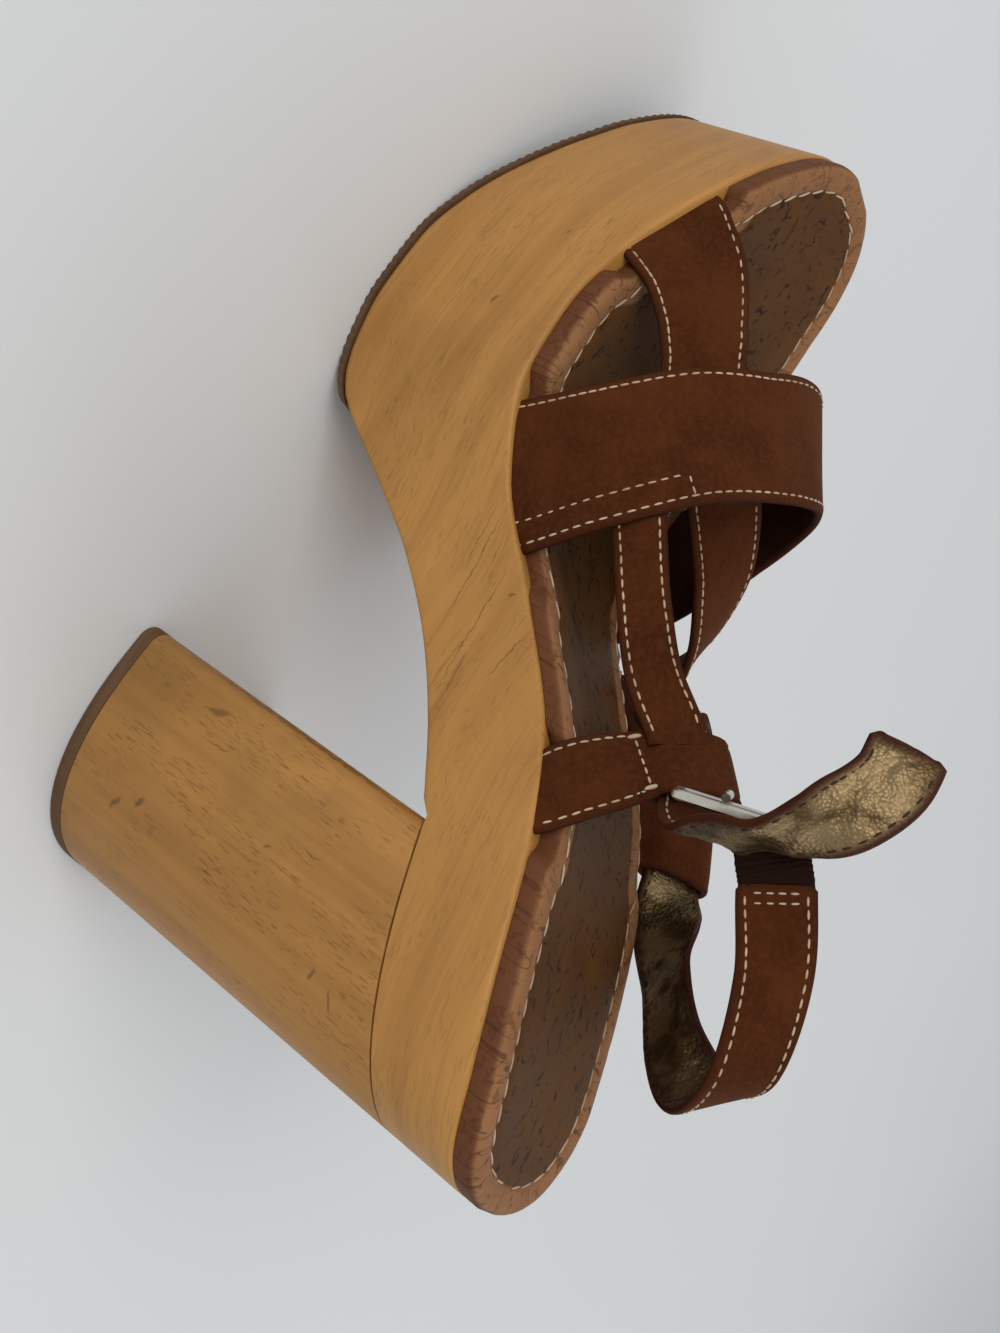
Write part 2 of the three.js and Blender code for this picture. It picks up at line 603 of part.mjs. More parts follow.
addPiece('wood_sole', woodGeometry(0), WOOD);
addPiece('heel_block', heelGeometry(), WOOD);
addPiece('heel_top_lift', topLiftGeometry(), RUBBER);
addPiece('outsole', outsoleGeometry(), RUBBER);
addPiece('insole', insoleGeometry(0), CORK);
addPiece('upper_straps', toGeometry(upperSolid()), SUEDE);
addPiece('medial_side_strap', toGeometry(trimmed(sideStrap(MEDIAL_SIDE, -1))), SUEDE);
addPiece('ankle_strap', toGeometry(ankleSolid()), SUEDE);
const elasticHalf = ANKLE_HALF_WIDTH - ELASTIC_NARROWER;
const elastic = ribbon(ELASTIC_ROWS, ELASTIC_THICKNESS, ELASTIC_SECTIONS, elasticHalf);
addPiece('ankle_elastic', elastic, ELASTIC);
addPiece('buckle_frame', buckleGeometry(), METAL);
addPiece('buckle_prong', prongGeometry(PRONG_DIAMETER, 0), METAL);

// the origin is on the floor, under the middle of the whole shoe
const extent = new THREE.Box3().setFromObject(shoe);
const middle = extent.getCenter(new THREE.Vector3());
shoe.position.set(-middle.x, -middle.y, -extent.min.z);

export default shoe;
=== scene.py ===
# %% [markdown]
# # A platform sandal, from the sole up
# The real shoe is a carved wood sole on a block heel, with a cork-covered footbed, crossed suede straps and a
# slack ankle strap. The imported model gives the exact place and size of every part. Here each part gets its
# finished surface: rounded edges, stitches, linings, grain and wear. Start with the frame, and keep its box,
# as the finished shoe stays the size of the frame. The finished shoe has to stay the size of the frame.

# %% Load the frame
import math
import random
import bmesh
import bpy
from mathutils import Matrix, Vector, noise


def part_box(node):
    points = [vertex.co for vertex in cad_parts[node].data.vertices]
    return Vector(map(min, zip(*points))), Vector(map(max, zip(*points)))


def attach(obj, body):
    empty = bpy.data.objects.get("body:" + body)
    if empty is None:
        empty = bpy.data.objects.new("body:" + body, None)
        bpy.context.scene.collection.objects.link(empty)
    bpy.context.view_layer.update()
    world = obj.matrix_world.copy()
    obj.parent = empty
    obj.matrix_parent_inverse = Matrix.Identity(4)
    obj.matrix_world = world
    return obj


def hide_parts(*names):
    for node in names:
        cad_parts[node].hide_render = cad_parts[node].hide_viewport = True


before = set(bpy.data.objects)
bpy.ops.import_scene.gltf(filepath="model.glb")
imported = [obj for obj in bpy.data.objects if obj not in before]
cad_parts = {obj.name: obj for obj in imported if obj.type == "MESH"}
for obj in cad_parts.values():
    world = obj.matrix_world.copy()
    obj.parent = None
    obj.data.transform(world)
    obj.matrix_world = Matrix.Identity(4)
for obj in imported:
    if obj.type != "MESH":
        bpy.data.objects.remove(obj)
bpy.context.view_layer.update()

# %% [markdown]
# ## Units and the shoe's own axes
# A shoemaker measures in millimetres from the back of the heel, so the tables below do the same. Blender
# works in metres from the middle of the shoe. Two places on the heel block tie the two together, so nothing
# is fitted by eye.

# %% Millimetres from the heel to metres in the frame
MM = 0.001
HEEL_LATERAL = 31.8
HEEL_MEDIAL = 28.2
heel_low, heel_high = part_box("heel_block")
ORIGIN = Vector((heel_low.x, heel_high.y - HEEL_LATERAL * MM, 0))


def at(x, y, z):
    return Vector((x, y, z)) * MM + ORIGIN


print("heel back at", round(ORIGIN.x, 5), round(ORIGIN.y, 5))

# %% [markdown]
# ## Tables of the last
# The side view of the sole is a smooth curve through a few heights, and so is its outline from above. A curve
# that never overshoots between two rows keeps the flat spot under the ball really flat.

# %% Tables of the sole
SHOE_LENGTH = 233
GAP = 0.3
OUTSOLE = 1.3
TOP_LIFT = 3.6
HEEL_LENGTH = 53
TOP = [(0, 126.8), (20, 122.7), (40, 115.9), (60, 107.7), (80, 95.6), (100, 75.8), (120, 56.4), (140, 47.6),
       (160, 46.3), (200, 50.4), (233, 54.5)]
UNDER = [(52, 85.6), (60, 79.6), (68, 73.4), (83, 59.2), (97, 41.2), (107.4, 23.7), (114.7, 11), (119, 5),
         (124, 2.4), (130, 1.6), (156, 1.6), (172, 2.9), (198, 7.5), (225, 13.2), (233, 15)]
JOINT = [(0, 106.4), (53, 85.4)]
OUTLINE = [(0, 23.4, 25.4), (10, 24, 26), (16, 25.2, 27), (26, 28.8, 28.6), (38, 31.2, 28.4),
           (52, 32.5, 27.2), (72, 32.8, 25.6), (94, 33.4, 26.2), (112, 36.5, 29.7), (130, 41.4, 35),
           (143, 44.2, 38.8), (157, 44.9, 40.8), (170, 43, 40.6), (183, 39.6, 38.8), (196, 34.6, 36),
           (209, 28.1, 31.8), (220, 23.4, 29.8), (233, 20.4, 28.6)]
GRAIN_LINE = [(0, 17), (50, 6.5), (110, 0.5), (165, 1), (233, 0)]
UNDERCUT = [(0, 0), (90, 0.6), (118, 3.2), (140, 1), (165, 1.4), (190, 3), (215, 4), (233, 4.5)]
LATERAL_NOTCHES = [(58.5, 81), (101, 140.5), (167, 202.5)]
MEDIAL_NOTCHES = [(67.5, 90.5), (90.5, 112.5), (112.5, 145)]


def table_curve(rows, column=1):
    xs = [row[0] for row in rows]
    ys = [row[column] for row in rows]
    slopes = [(ys[i + 1] - ys[i]) / (xs[i + 1] - xs[i]) for i in range(len(xs) - 1)]
    tangents = [slopes[0]]
    for i in range(1, len(xs) - 1):
        before, after = xs[i] - xs[i - 1], xs[i + 1] - xs[i]
        flat = slopes[i - 1] * slopes[i] <= 0
        w1, w2 = 2 * after + before, after + 2 * before
        tangents.append(0 if flat else (w1 + w2) / (w1 / slopes[i - 1] + w2 / slopes[i]))
    tangents.append(slopes[-1])

    def value(x):
        x = min(max(x, xs[0]), xs[-1])
        i = 0
        while i < len(xs) - 2 and x > xs[i + 1]:
            i += 1
        h = xs[i + 1] - xs[i]
        t = (x - xs[i]) / h
        return ((1 + 2 * t) * (1 - t) ** 2 * ys[i] + t * (1 - t) ** 2 * h * tangents[i]
                + t * t * (3 - 2 * t) * ys[i + 1] + t * t * (t - 1) * h * tangents[i + 1])
    return value


top_z, under_z, joint_z = table_curve(TOP), table_curve(UNDER), table_curve(JOINT)
undercut, grain_z = table_curve(UNDERCUT), table_curve(GRAIN_LINE)
lateral_body, medial_body = table_curve(OUTLINE, 1), table_curve(OUTLINE, 2)


HEEL_ROUND, TOE_ROUND = 20, 26
HEEL_POWER, TOE_POWER = 2.3, 2.2
TOE_MIDDLE = -2.5
BACK_ROUND, BREAST_ROUND = 46, 4
UNDERCUT_LARGEST_SHARE = 0.3


def round_end(distance, length, power):
    part = min(max(1 - distance / length, 0), 1)
    return (1 - part ** power) ** (1 / power)


def half_widths(x):
    heel = round_end(x, HEEL_ROUND, HEEL_POWER)
    toe = round_end(SHOE_LENGTH - x, TOE_ROUND, TOE_POWER)
    lateral = TOE_MIDDLE + (lateral_body(x) * heel - TOE_MIDDLE) * toe
    medial = TOE_MIDDLE - (medial_body(x) * heel + TOE_MIDDLE) * toe
    return lateral, medial


def tucked_in(x, lateral, medial):
    """How far the bottom edge is cut in under the top edge, less where the toe narrows to nothing."""
    return min(undercut(x), (lateral - medial) * UNDERCUT_LARGEST_SHARE)


def heel_half(x, width):
    return width * round_end(x, BACK_ROUND, HEEL_POWER)


def stations(start, end, step, heel_end=True, round_steps=18, first=0.03):
    xs = []
    angles = [first + (math.pi / 2 - first) * i / round_steps for i in range(round_steps)]
    heel_limit = start + HEEL_ROUND if heel_end else start
    toe_limit = end - TOE_ROUND
    if heel_end:
        xs += [start + HEEL_ROUND * (1 - math.cos(a)) for a in angles]
    count = round((toe_limit - heel_limit) / step)
    xs += [heel_limit + (toe_limit - heel_limit) * i / count for i in range(count + 1)]
    xs += [end - TOE_ROUND * (1 - math.cos(a)) for a in reversed(angles)]
    return xs


print("ball width", [round(w, 1) for w in half_widths(157)])

# %% [markdown]
# ## Skins and pieces
# Carved and cut parts are lofted: rings of points, one for each section, joined by quads. No operator lofts
# through sections that change shape, so this is done in mesh code. Every piece then rides on the shoe's one
# body, and the imported part it stands for is hidden.

# %% Helpers for skins


def deselect():
    if bpy.context.object and bpy.context.object.mode != "OBJECT":
        bpy.ops.object.mode_set(mode="OBJECT")
    bpy.ops.object.select_all(action="DESELECT")


def put(name, data):
    made = bpy.data.objects.new(name, data)
    bpy.context.scene.collection.objects.link(made)
    return made


def new_object(name, verts, faces):
    mesh = bpy.data.meshes.new(name)
    mesh.from_pydata([tuple(v) for v in verts], [], faces)
    mesh.update()
    return put(name, mesh)


def loft(name, rings, caps=True):
    size = len(rings[0])
    verts = [p for ring in rings for p in ring]
    faces = []
    for i in range(len(rings) - 1):
        for j in range(size):
            k = (j + 1) % size
            faces.append((i * size + j, i * size + k, (i + 1) * size + k, (i + 1) * size + j))
    if caps:
        faces.append(tuple(reversed(range(size))))
        faces.append(tuple((len(rings) - 1) * size + j for j in range(size)))
    return new_object(name, verts, faces)


def face_out(piece, merge=0.0):
    build = bmesh.new()
    build.from_mesh(piece.data)
    if merge:
        bmesh.ops.remove_doubles(build, verts=build.verts, dist=merge)
    bmesh.ops.recalc_face_normals(build, faces=build.faces)
    build.to_mesh(piece.data)
    build.free()


def choose(piece):
    deselect()
    bpy.context.view_layer.objects.active = piece
    piece.select_set(True)


def smooth(piece, degrees):
    choose(piece)
    bpy.ops.object.shade_smooth_by_angle(angle=math.radians(degrees))


def skin(piece, degrees, merge=0.0):
    face_out(piece, merge)
    smooth(piece, degrees)


def bevel(piece, width):
    choose(piece)
    rounded = piece.modifiers.new("rounded edges", "BEVEL")
    rounded.width = width
    rounded.segments = 3
    rounded.limit_method = "ANGLE"
    rounded.angle_limit = math.radians(60)
    bpy.ops.object.modifier_apply(modifier=rounded.name)


def point_values(piece, name, values):
    layer = piece.data.attributes.new(name, "FLOAT", "POINT")
    layer.data.foreach_set("value", values)


def point_vectors(piece, name, values):
    layer = piece.data.attributes.new(name, "FLOAT_VECTOR", "POINT")
    layer.data.foreach_set("vector", [c for v in values for c in v])


def finish_piece(piece, nodes, materials):
    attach(piece, "root")
    if nodes:
        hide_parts(*nodes)
    for material in materials:
        piece.data.materials.append(material)
    print(piece.name, len(piece.data.polygons), "faces")


# %% [markdown]
# ## Camera
# The shoe is seen from its outer side and a little from behind, with the camera rolled so that the toe
# points up the picture. Two directions of the view set that roll. The view is then turned by the smallest
# angle that brings the aimed place to the middle of the picture, so the roll stays.

# %% Camera
CAMERA_PLACE = Vector((-0.07733, 0.31333, 0.2504))
VIEW_RIGHT = Vector((0.5484, -0.1657, 0.8196)).normalized()
VIEW_DOWN = Vector((-0.7706, -0.4808, 0.4183)).normalized()
AIM = Vector((-0.02555, 0.00207, 0.0606))
sight = VIEW_RIGHT.cross(VIEW_DOWN).normalized()
turn = sight.rotation_difference((AIM - CAMERA_PLACE).normalized())
right, down, ahead = (turn @ v for v in (VIEW_RIGHT, sight.cross(VIEW_RIGHT), sight))
camera = put("camera", bpy.data.cameras.new("camera"))
camera.matrix_world = Matrix.Translation(CAMERA_PLACE) @ Matrix((right, -down, -ahead)).transposed().to_4x4()
camera.data.sensor_fit = "VERTICAL"
camera.data.sensor_height = 36
camera.data.sensor_width = 36
camera.data.lens = 45.4
camera.data.clip_start = 0.01
camera.data.clip_end = 50
bpy.context.scene.camera = camera
print("camera looks", [round(c, 3) for c in ahead])

# %% [markdown]
# ## Floor and light
# A plain pale floor, wide enough that its edge stays out of the main view, under soft studio light: a large
# soft panel high on the outer side, a weaker one on the inner side behind the heel, and an even pale surround
# that keeps the shadows faint.

# %% Materials: small helpers


def feed(tree, socket, value):
    """Links the socket when the value comes from a node, and sets it otherwise."""
    if isinstance(value, bpy.types.NodeSocket):
        tree.links.new(value, socket)
    else:
        socket.default_value = value


def node(tree, kind, settings=None, **inputs):
    """A new node; i0 and i1 are its first two inputs, and the others go by their names."""
    made = tree.nodes.new(kind)
    for key, value in (settings or {}).items():
        setattr(made, key, value)
    for key, value in inputs.items():
        feed(tree, made.inputs[int(key[1:]) if key in ("i0", "i1") else key.replace("_", " ")], value)
    return made


def new_material(name):
    """A material, its node tree, its shader, and the place of a point on its object."""
    material = bpy.data.materials.new(name)
    material.use_nodes = True
    tree = material.node_tree
    return material, tree, tree.nodes["Principled BSDF"], node(tree, "ShaderNodeTexCoord").outputs["Object"]


def maths(tree, operation, first, second=0.0):
    return node(tree, "ShaderNodeMath", {"operation": operation}, i0=first, i1=second).outputs[0]


def times(tree, first, second):
    return maths(tree, "MULTIPLY", first, second)


def plus(tree, first, second):
    return maths(tree, "ADD", first, second)


def minus(tree, first, second):
    return maths(tree, "SUBTRACT", first, second)


def step(tree, value, low, high):
    """Runs smoothly from 0 at low to 1 at high."""
    return node(tree, "ShaderNodeMapRange", {"interpolation_type": "SMOOTHSTEP"}, Value=value,
                From_Min=low, From_Max=high).outputs[0]


def mixed(tree, factor, first, second):
    made = node(tree, "ShaderNodeMix", {"data_type": "RGBA"})
    for index, value in ((0, factor), (6, first), (7, second)):
        feed(tree, made.inputs[index], value)
    return made.outputs[2]


def stained(tree, base, mask, share, colour):
    return mixed(tree, times(tree, mask, share), base, colour)


def stretched(tree, vector, factors):
    return node(tree, "ShaderNodeVectorMath", {"operation": "MULTIPLY"}, i0=vector, i1=factors).outputs[0]


def noise_at(tree, vector, scale=1.0, detail=2.0, distortion=0.0):
    made = node(tree, "ShaderNodeTexNoise", Vector=vector, Scale=scale, Detail=detail, Distortion=distortion)
    return made.outputs["Fac"]


def point_value(tree, name, output="Fac"):
    return node(tree, "ShaderNodeAttribute", {"attribute_name": name}).outputs[output]


def new_group(name, inputs, outputs):
    tree = bpy.data.node_groups.new(name, "ShaderNodeTree")
    for label, kind, value in inputs:
        socket = tree.interface.new_socket(name=label, in_out="INPUT", socket_type=kind)
        if value is not None:
            socket.default_value = value
    for label, kind in outputs:
        tree.interface.new_socket(name=label, in_out="OUTPUT", socket_type=kind)
    return tree, tree.nodes.new("NodeGroupInput"), tree.nodes.new("NodeGroupOutput")


def place_group(tree, group, **inputs):
    return node(tree, "ShaderNodeGroup", {"node_tree": group}, **inputs)


def surface(tree, shader, colour, roughness, specular, relief=None, strength=0.5, depth=0.0002):
    """Colour, roughness and shine, and a fine relief where one is given."""
    feed(tree, shader.inputs["Base Color"], colour)
    feed(tree, shader.inputs["Roughness"], roughness)
    shader.inputs["Specular IOR Level"].default_value = specular
    if relief is not None:
        bump = node(tree, "ShaderNodeBump", Height=relief, Strength=strength, Distance=depth)
        tree.links.new(bump.outputs[0], shader.inputs["Normal"])


def plus_share(tree, start, value, share):
    return plus(tree, start, times(tree, value, share))


def noisy_material(name, grain, colours, roughness, specular=0.5, strength=0.0):
    """A material where one noise drives the colour, the roughness and the relief."""
    material, tree, shader, place = new_material(name)
    fine = noise_at(tree, place, *grain)
    rough = plus_share(tree, roughness[0], fine, roughness[1])
    surface(tree, shader, mixed(tree, fine, *colours), rough, specular, fine if strength else None, strength)
    return material


COLOUR, NUMBER, VECTOR = "NodeSocketColor", "NodeSocketFloat", "NodeSocketVector"

# %% Floor, surround and panels
floor_greys = (0.66, 0.675, 0.68, 1), (0.70, 0.71, 0.715, 1)
floor_material = noisy_material("pale_floor", (3.0, 2.0), floor_greys, (0.6, 0))
deselect()
bpy.ops.mesh.primitive_plane_add(size=24, location=(0, 0, 0))
floor = bpy.context.object
floor.name = "studio_floor"
bpy.ops.object.mode_set(mode="EDIT")
bpy.ops.mesh.select_all(action="SELECT")
bpy.ops.mesh.subdivide(number_cuts=3)
bpy.ops.object.mode_set(mode="OBJECT")
floor.data.materials.append(floor_material)

world = bpy.data.worlds.new("soft_surround")
bpy.context.scene.world = world
world.use_nodes = True
world.node_tree.nodes["Background"].inputs["Color"].default_value = (0.97, 0.985, 1.0, 1)
world.node_tree.nodes["Background"].inputs["Strength"].default_value = 0.65
bpy.context.scene.view_settings.view_transform = "Standard"


def soft_panel(name, place, target, size, power, colour):
    light = bpy.data.lights.new(name, "AREA")
    light.shape = "DISK"
    light.size = size
    light.energy = power
    light.color = colour
    panel = put(name, light)
    panel.location = place
    panel.rotation_mode = "QUATERNION"
    panel.rotation_quaternion = (Vector(target) - Vector(place)).to_track_quat("-Z", "Y")
    print(name, power, "W")


soft_panel("high_panel", (0.30, 1.0, 0.85), (0, 0, 0.05), 0.8, 7.1, (1.0, 0.985, 0.95))
soft_panel("back_panel", (-0.7, -0.9, 0.9), (0.02, 0, 0.05), 0.9, 3.0, (0.97, 0.985, 1.0))

# %% [markdown]
# ## Shared effects
# Wood marks, grain and worn edges come back on several parts. Each effect is one node group, used with
# different values. The wood group reads a vector whose first number runs along the grain, so wood cut level
# and wood cut upright can share it.

# %% Group: wood grain
grain_group, inside, outside = new_group(
    "wood_grain",
    [("Vector", VECTOR, None), ("Light", COLOUR, (0.6, 0.36, 0.13, 1)),
     ("Dark", COLOUR, (0.45, 0.23, 0.07, 1)), ("Flecks", NUMBER, 0.5), ("Lines", NUMBER, 0.5)],
    [("Color", COLOUR), ("Roughness", NUMBER), ("Height", NUMBER)])
tree = grain_group
vector = inside.outputs["Vector"]
patches = noise_at(tree, stretched(tree, vector, (16, 42, 42)), 1, 3, 0.6)
bands = noise_at(tree, stretched(tree, vector, (7, 170, 170)), 1, 3, 0.5)
lines = noise_at(tree, stretched(tree, vector, (22, 1500, 1500)), 1, 2, 0.3)
pores = noise_at(tree, stretched(tree, vector, (300, 2300, 2300)), 1, 1)
thick = noise_at(tree, stretched(tree, vector, (60, 120, 120)), 1, 1)
fleck = times(tree, step(tree, pores, 0.565, 0.67), step(tree, thick, 0.38, 0.62))
patchy, banded = step(tree, patches, 0.3, 0.75), step(tree, bands, 0.35, 0.7)
blend_amount = plus(tree, times(tree, patchy, 0.55), times(tree, banded, 0.45))
base = mixed(tree, blend_amount, inside.outputs["Light"], inside.outputs["Dark"])
line_dark = times(tree, step(tree, lines, 0.5, 0.72), inside.outputs["Lines"])
base = stained(tree, base, line_dark, 0.35, (0.21, 0.10, 0.03, 1))
fleck_dark = times(tree, fleck, inside.outputs["Flecks"])
base = stained(tree, base, fleck_dark, 0.62, (0.15, 0.058, 0.012, 1))
tree.links.new(base, outside.inputs["Color"])
tree.links.new(plus_share(tree, 0.40, patches, 0.22), outside.inputs["Roughness"])
pit = plus(tree, times(tree, fleck_dark, -1), times(tree, line_dark, -0.4))
tree.links.new(pit, outside.inputs["Height"])

# %% Group: one small dark mark
mark_group, inside, outside = new_group(
    "small_mark",
    [("Vector", VECTOR, None), ("Centre", VECTOR, (0, 0, 0)), ("Turn", NUMBER, 0),
     ("Half length", NUMBER, 0.004), ("Half width", NUMBER, 0.001)],
    [("Mask", NUMBER)])
tree = mark_group
offset = node(tree, "ShaderNodeVectorMath", {"operation": "SUBTRACT"}, i0=inside.outputs["Vector"],
              i1=inside.outputs["Centre"]).outputs[0]
parts = node(tree, "ShaderNodeSeparateXYZ", Vector=offset)
cosine = maths(tree, "COSINE", inside.outputs["Turn"])
sine = maths(tree, "SINE", inside.outputs["Turn"])
ragged = noise_at(tree, inside.outputs["Vector"], 420, 2)
wobble = times(tree, minus(tree, ragged, 0.5), 0.0016)
along = plus(tree, times(tree, parts.outputs[0], cosine), times(tree, parts.outputs[2], sine))
athwart = minus(tree, times(tree, parts.outputs[2], cosine), times(tree, parts.outputs[0], sine))
athwart = plus(tree, athwart, wobble)
reach = 0.0
for distance, limit, power in ((along, inside.outputs["Half length"], 2.0),
                               (athwart, inside.outputs["Half width"], 2.0), (parts.outputs[1], 0.012, 4.0)):
    near = maths(tree, "DIVIDE", maths(tree, "ABSOLUTE", distance), limit)
    reach = plus(tree, reach, maths(tree, "POWER", near, power))
tree.links.new(minus(tree, 1.0, step(tree, reach, 0.0, 1.0)), outside.inputs["Mask"])

# %% Group: darker towards a cut edge
edge_group, inside, outside = new_group(
    "edge_band", [("Reach", NUMBER, 0.002)], [("Mask", NUMBER)])
tree = edge_group
share = maths(tree, "DIVIDE", point_value(tree, "edge_distance"), inside.outputs["Reach"])
tree.links.new(minus(tree, 1.0, step(tree, share, 0.15, 1.0)), outside.inputs["Mask"])
print("node groups", [g.name for g in bpy.data.node_groups])

# %% [markdown]
# ## Wood finish
# The sole is a pale wood, oiled and sealed: satin, golden, with short dark pores and long faint lines. The
# heel is cut from the same wood with its grain upright, and it has taken knocks. The marks are placed one
# by one. Most are knocks; the long dark line down the breast edge is painted shade where the side turns
# into the breast.

# %% Wood materials


def add_marks(tree, vector, marks, colour, base, dark):
    total = None
    for centre, turn_by, half_length, half_width in marks:
        mask = place_group(tree, mark_group, Vector=vector, Centre=centre, Turn=turn_by,
                           Half_length=half_length, Half_width=half_width).outputs[0]
        total = mask if total is None else maths(tree, "MAXIMUM", total, mask)
    return mixed(tree, times(tree, total, dark), base, colour), total


def along_sole(tree, place):
    """Grain that bends with the carved sole, kept on its points."""
    return point_value(tree, "grain", "Vector")


def upright(tree, place):
    """Grain that runs straight up."""
    parts = node(tree, "ShaderNodeSeparateXYZ", Vector=place).outputs
    return node(tree, "ShaderNodeCombineXYZ", X=parts[2], Y=parts[1], Z=parts[0]).outputs[0]


def wood(name, light, dark, flecks, lines, dirt, marks, direction):
    material, tree, shader, place = new_material(name)
    grain = place_group(tree, grain_group, Vector=direction(tree, place), Light=light, Dark=dark,
                        Flecks=flecks, Lines=lines)
    grime = step(tree, noise_at(tree, place, 26, 4, 0.6), 0.48, 0.74)
    colour, mask = add_marks(tree, place, marks, (0.085, 0.037, 0.009, 1), grain.outputs["Color"], 0.62)
    colour = stained(tree, colour, grime, dirt, (0.18, 0.098, 0.024, 1))
    height = plus_share(tree, grain.outputs["Height"], mask, -3.0)
    surface(tree, shader, colour, grain.outputs["Roughness"], 0.3, height, 0.35, 0.00012)
    shader.inputs["Coat Weight"].default_value = 0.06
    shader.inputs["Coat Roughness"].default_value = 0.3
    return material


def mark(x, y, z, degrees, length, width):
    return tuple(at(x, y, z)), math.radians(degrees), length * MM / 2, width * MM / 2


heel_knocks_and_edge_shade = [mark(17.6, 26.7, 19.2, 35, 5, 1.5), mark(20.8, 28, 25.6, 40, 4.2, 1.8),
              mark(46, 31.8, 30.8, 70, 7.5, 2.2), mark(15.7, 25.7, 83, 20, 3.4, 1.1),
              mark(13.7, 24.6, 89.1, 151, 5, 1.0), mark(30, 30.5, 60, 70, 3, 0.7),
              mark(40, 31.5, 36, 82, 10, 0.4), mark(18, 27, 50, 85, 4, 0.6),
              # The long mark at the breast edge (x 52.4, 84 mm long) is painted shade where the side turns
              # into the breast.
              mark(52.4, 31, 52, 90, 84, 1.1), mark(34, 30.8, 70, 88, 6, 0.5), mark(26, 29.5, 38, 92, 5, 0.4)]
sole_marks = [mark(89.5, 32.9, 68.8, -6, 34, 0.4), mark(78.7, 32.5, 72, -8, 22, 0.3),
              mark(88.1, 33, 79.1, 8, 14, 0.45), mark(99.1, 33.4, 60.8, -5, 30, 0.35),
              mark(106, 34.5, 58, -3, 18, 0.3), mark(99, 33.6, 72, 40, 2, 1.0),
              mark(150, 44, 30, 15, 3.2, 0.9), mark(172, 42, 33, 20, 2.4, 0.8)]
sole_wood = wood("sole_wood", (0.47, 0.228, 0.054, 1), (0.335, 0.148, 0.030, 1), 0.5, 0.75, 0.16, sole_marks,
                 along_sole)
heel_wood = wood("heel_wood_upright", (0.43, 0.205, 0.048, 1), (0.295, 0.133, 0.028, 1), 0.85, 0.7, 0.4,
                 heel_knocks_and_edge_shade, upright)
print(sole_wood.name, heel_wood.name)

# %% [markdown]
# ## The carved wood sole
# On the real shoe this is one carved block: a seat, a steep shank and a thick platform. It is lofted from
# the tables, with a section every two or three millimetres, and more at the rounded ends. Every section has
# its four corners softened, as a carver breaks an edge with sandpaper. A vector on each point holds how far
# along the shoe it is, how deep in from the sides, and how high over the line that the grain follows.

# %% Build the wood sole


def soft_section(corners, radius, segments=4, side_steps=5):
    """Closed line through corners in the y, z plane, each corner rounded by a short curve."""
    def rounded(corner, towards, size):
        return corner + (towards - corner).normalized() * min(size, (towards - corner).length / 2.2)

    points = []
    count = len(corners)
    for i, corner in enumerate(corners):
        before = corners[i - 1]
        after = corners[(i + 1) % count]
        enter = rounded(corner, before, radius[i])
        leave = rounded(corner, after, radius[i])
        for k in range(segments + 1):
            t = k / segments
            points.append(enter * (1 - t) ** 2 + corner * 2 * t * (1 - t) + leave * t * t)
        next_start = rounded(after, corner, radius[(i + 1) % count])
        points += [leave.lerp(next_start, s / side_steps) for s in range(1, side_steps)]
    return points


def wood_section(x, joint):
    lat, med = half_widths(x)
    if x <= joint:
        bottom, edge = joint_z(x) + GAP, 0.35
        low_lat = min(heel_half(x, HEEL_LATERAL), lat + 2.5)
        low_med = max(-heel_half(x, HEEL_MEDIAL), med - 2.5)
    else:
        bottom, edge = under_z(x), 1.6
        low_lat, low_med = lat - tucked_in(x, lat, med), med + tucked_in(x, lat, med)
    outline = [(low_lat, bottom), (lat, top_z(x)), (med, top_z(x)), (low_med, bottom)]
    return soft_section([Vector(corner) for corner in outline], (edge, 1.5, 1.5, edge))


joint = HEEL_LENGTH + 2 * GAP
xs = stations(0, SHOE_LENGTH, 2.4)
xs = [x for x in xs if x < HEEL_LENGTH - 1] + [joint] + [x for x in xs if x > joint + 0.8]
rings, grain_vectors = [], []
for x in xs:
    ring = wood_section(x, joint)
    rings.append([at(x, p.x, p.y) for p in ring])
    lat, med = half_widths(x)
    shares = [min(max((p.x - med) / (lat - med), 0), 1) for p in ring]
    depths = [p.x - med - (lat - med) * s * s * (3 - 2 * s) + 50 * s for p, s in zip(ring, shares)]
    grain_vectors += [(x * MM, depth * MM, (p.y - grain_z(x) + 0.8 * math.sin(x / 9)) * MM)
                      for p, depth in zip(ring, depths)]
wood_sole = loft("carved_wood_sole", rings)
point_vectors(wood_sole, "grain", grain_vectors)
skin(wood_sole, 42)
finish_piece(wood_sole, ["wood_sole"], [sole_wood])

# %% [markdown]
# ## Heel block and top-lift
# The heel is a plain prism with a round back and a flat breast, so it can be made by hand: a disc is added,
# its rim is moved to the heel's outline, and it is extruded upwards. The top of the heel is cut on a slope
# where it meets the seat. The rubber top-lift is a thin slice of the same outline, and stands out a little.

# %% Build heel block and top-lift


BACK_FROM, BREAST_TO = math.pi * 0.42, math.pi * 0.22


def heel_rim(angle, proud):
    """Point on the heel's outline for an angle round its rim, 0 at the breast."""
    sign = 1 if math.sin(angle) >= 0 else -1
    width = HEEL_LATERAL if sign > 0 else HEEL_MEDIAL
    turn_in = abs(math.atan2(math.sin(angle), math.cos(angle)))
    if turn_in > BACK_FROM:
        sweep = (turn_in - BACK_FROM) / (math.pi - BACK_FROM) * math.pi / 2
        x = BACK_ROUND * (1 - math.cos(math.pi / 2 - sweep))
        y = heel_half(x, width)
    elif turn_in > BREAST_TO:
        sweep = (turn_in - BREAST_TO) / (BACK_FROM - BREAST_TO) * math.pi / 2
        x = HEEL_LENGTH - BREAST_ROUND * (1 - math.cos(sweep))
        y = width - BREAST_ROUND * (1 - math.sin(sweep))
    else:
        x = HEEL_LENGTH
        y = (width - BREAST_ROUND) * turn_in / BREAST_TO
    centre = Vector((26, 0))
    point = Vector((x, sign * y))
    return centre + (point - centre) * (1 + proud / max((point - centre).length, 1))


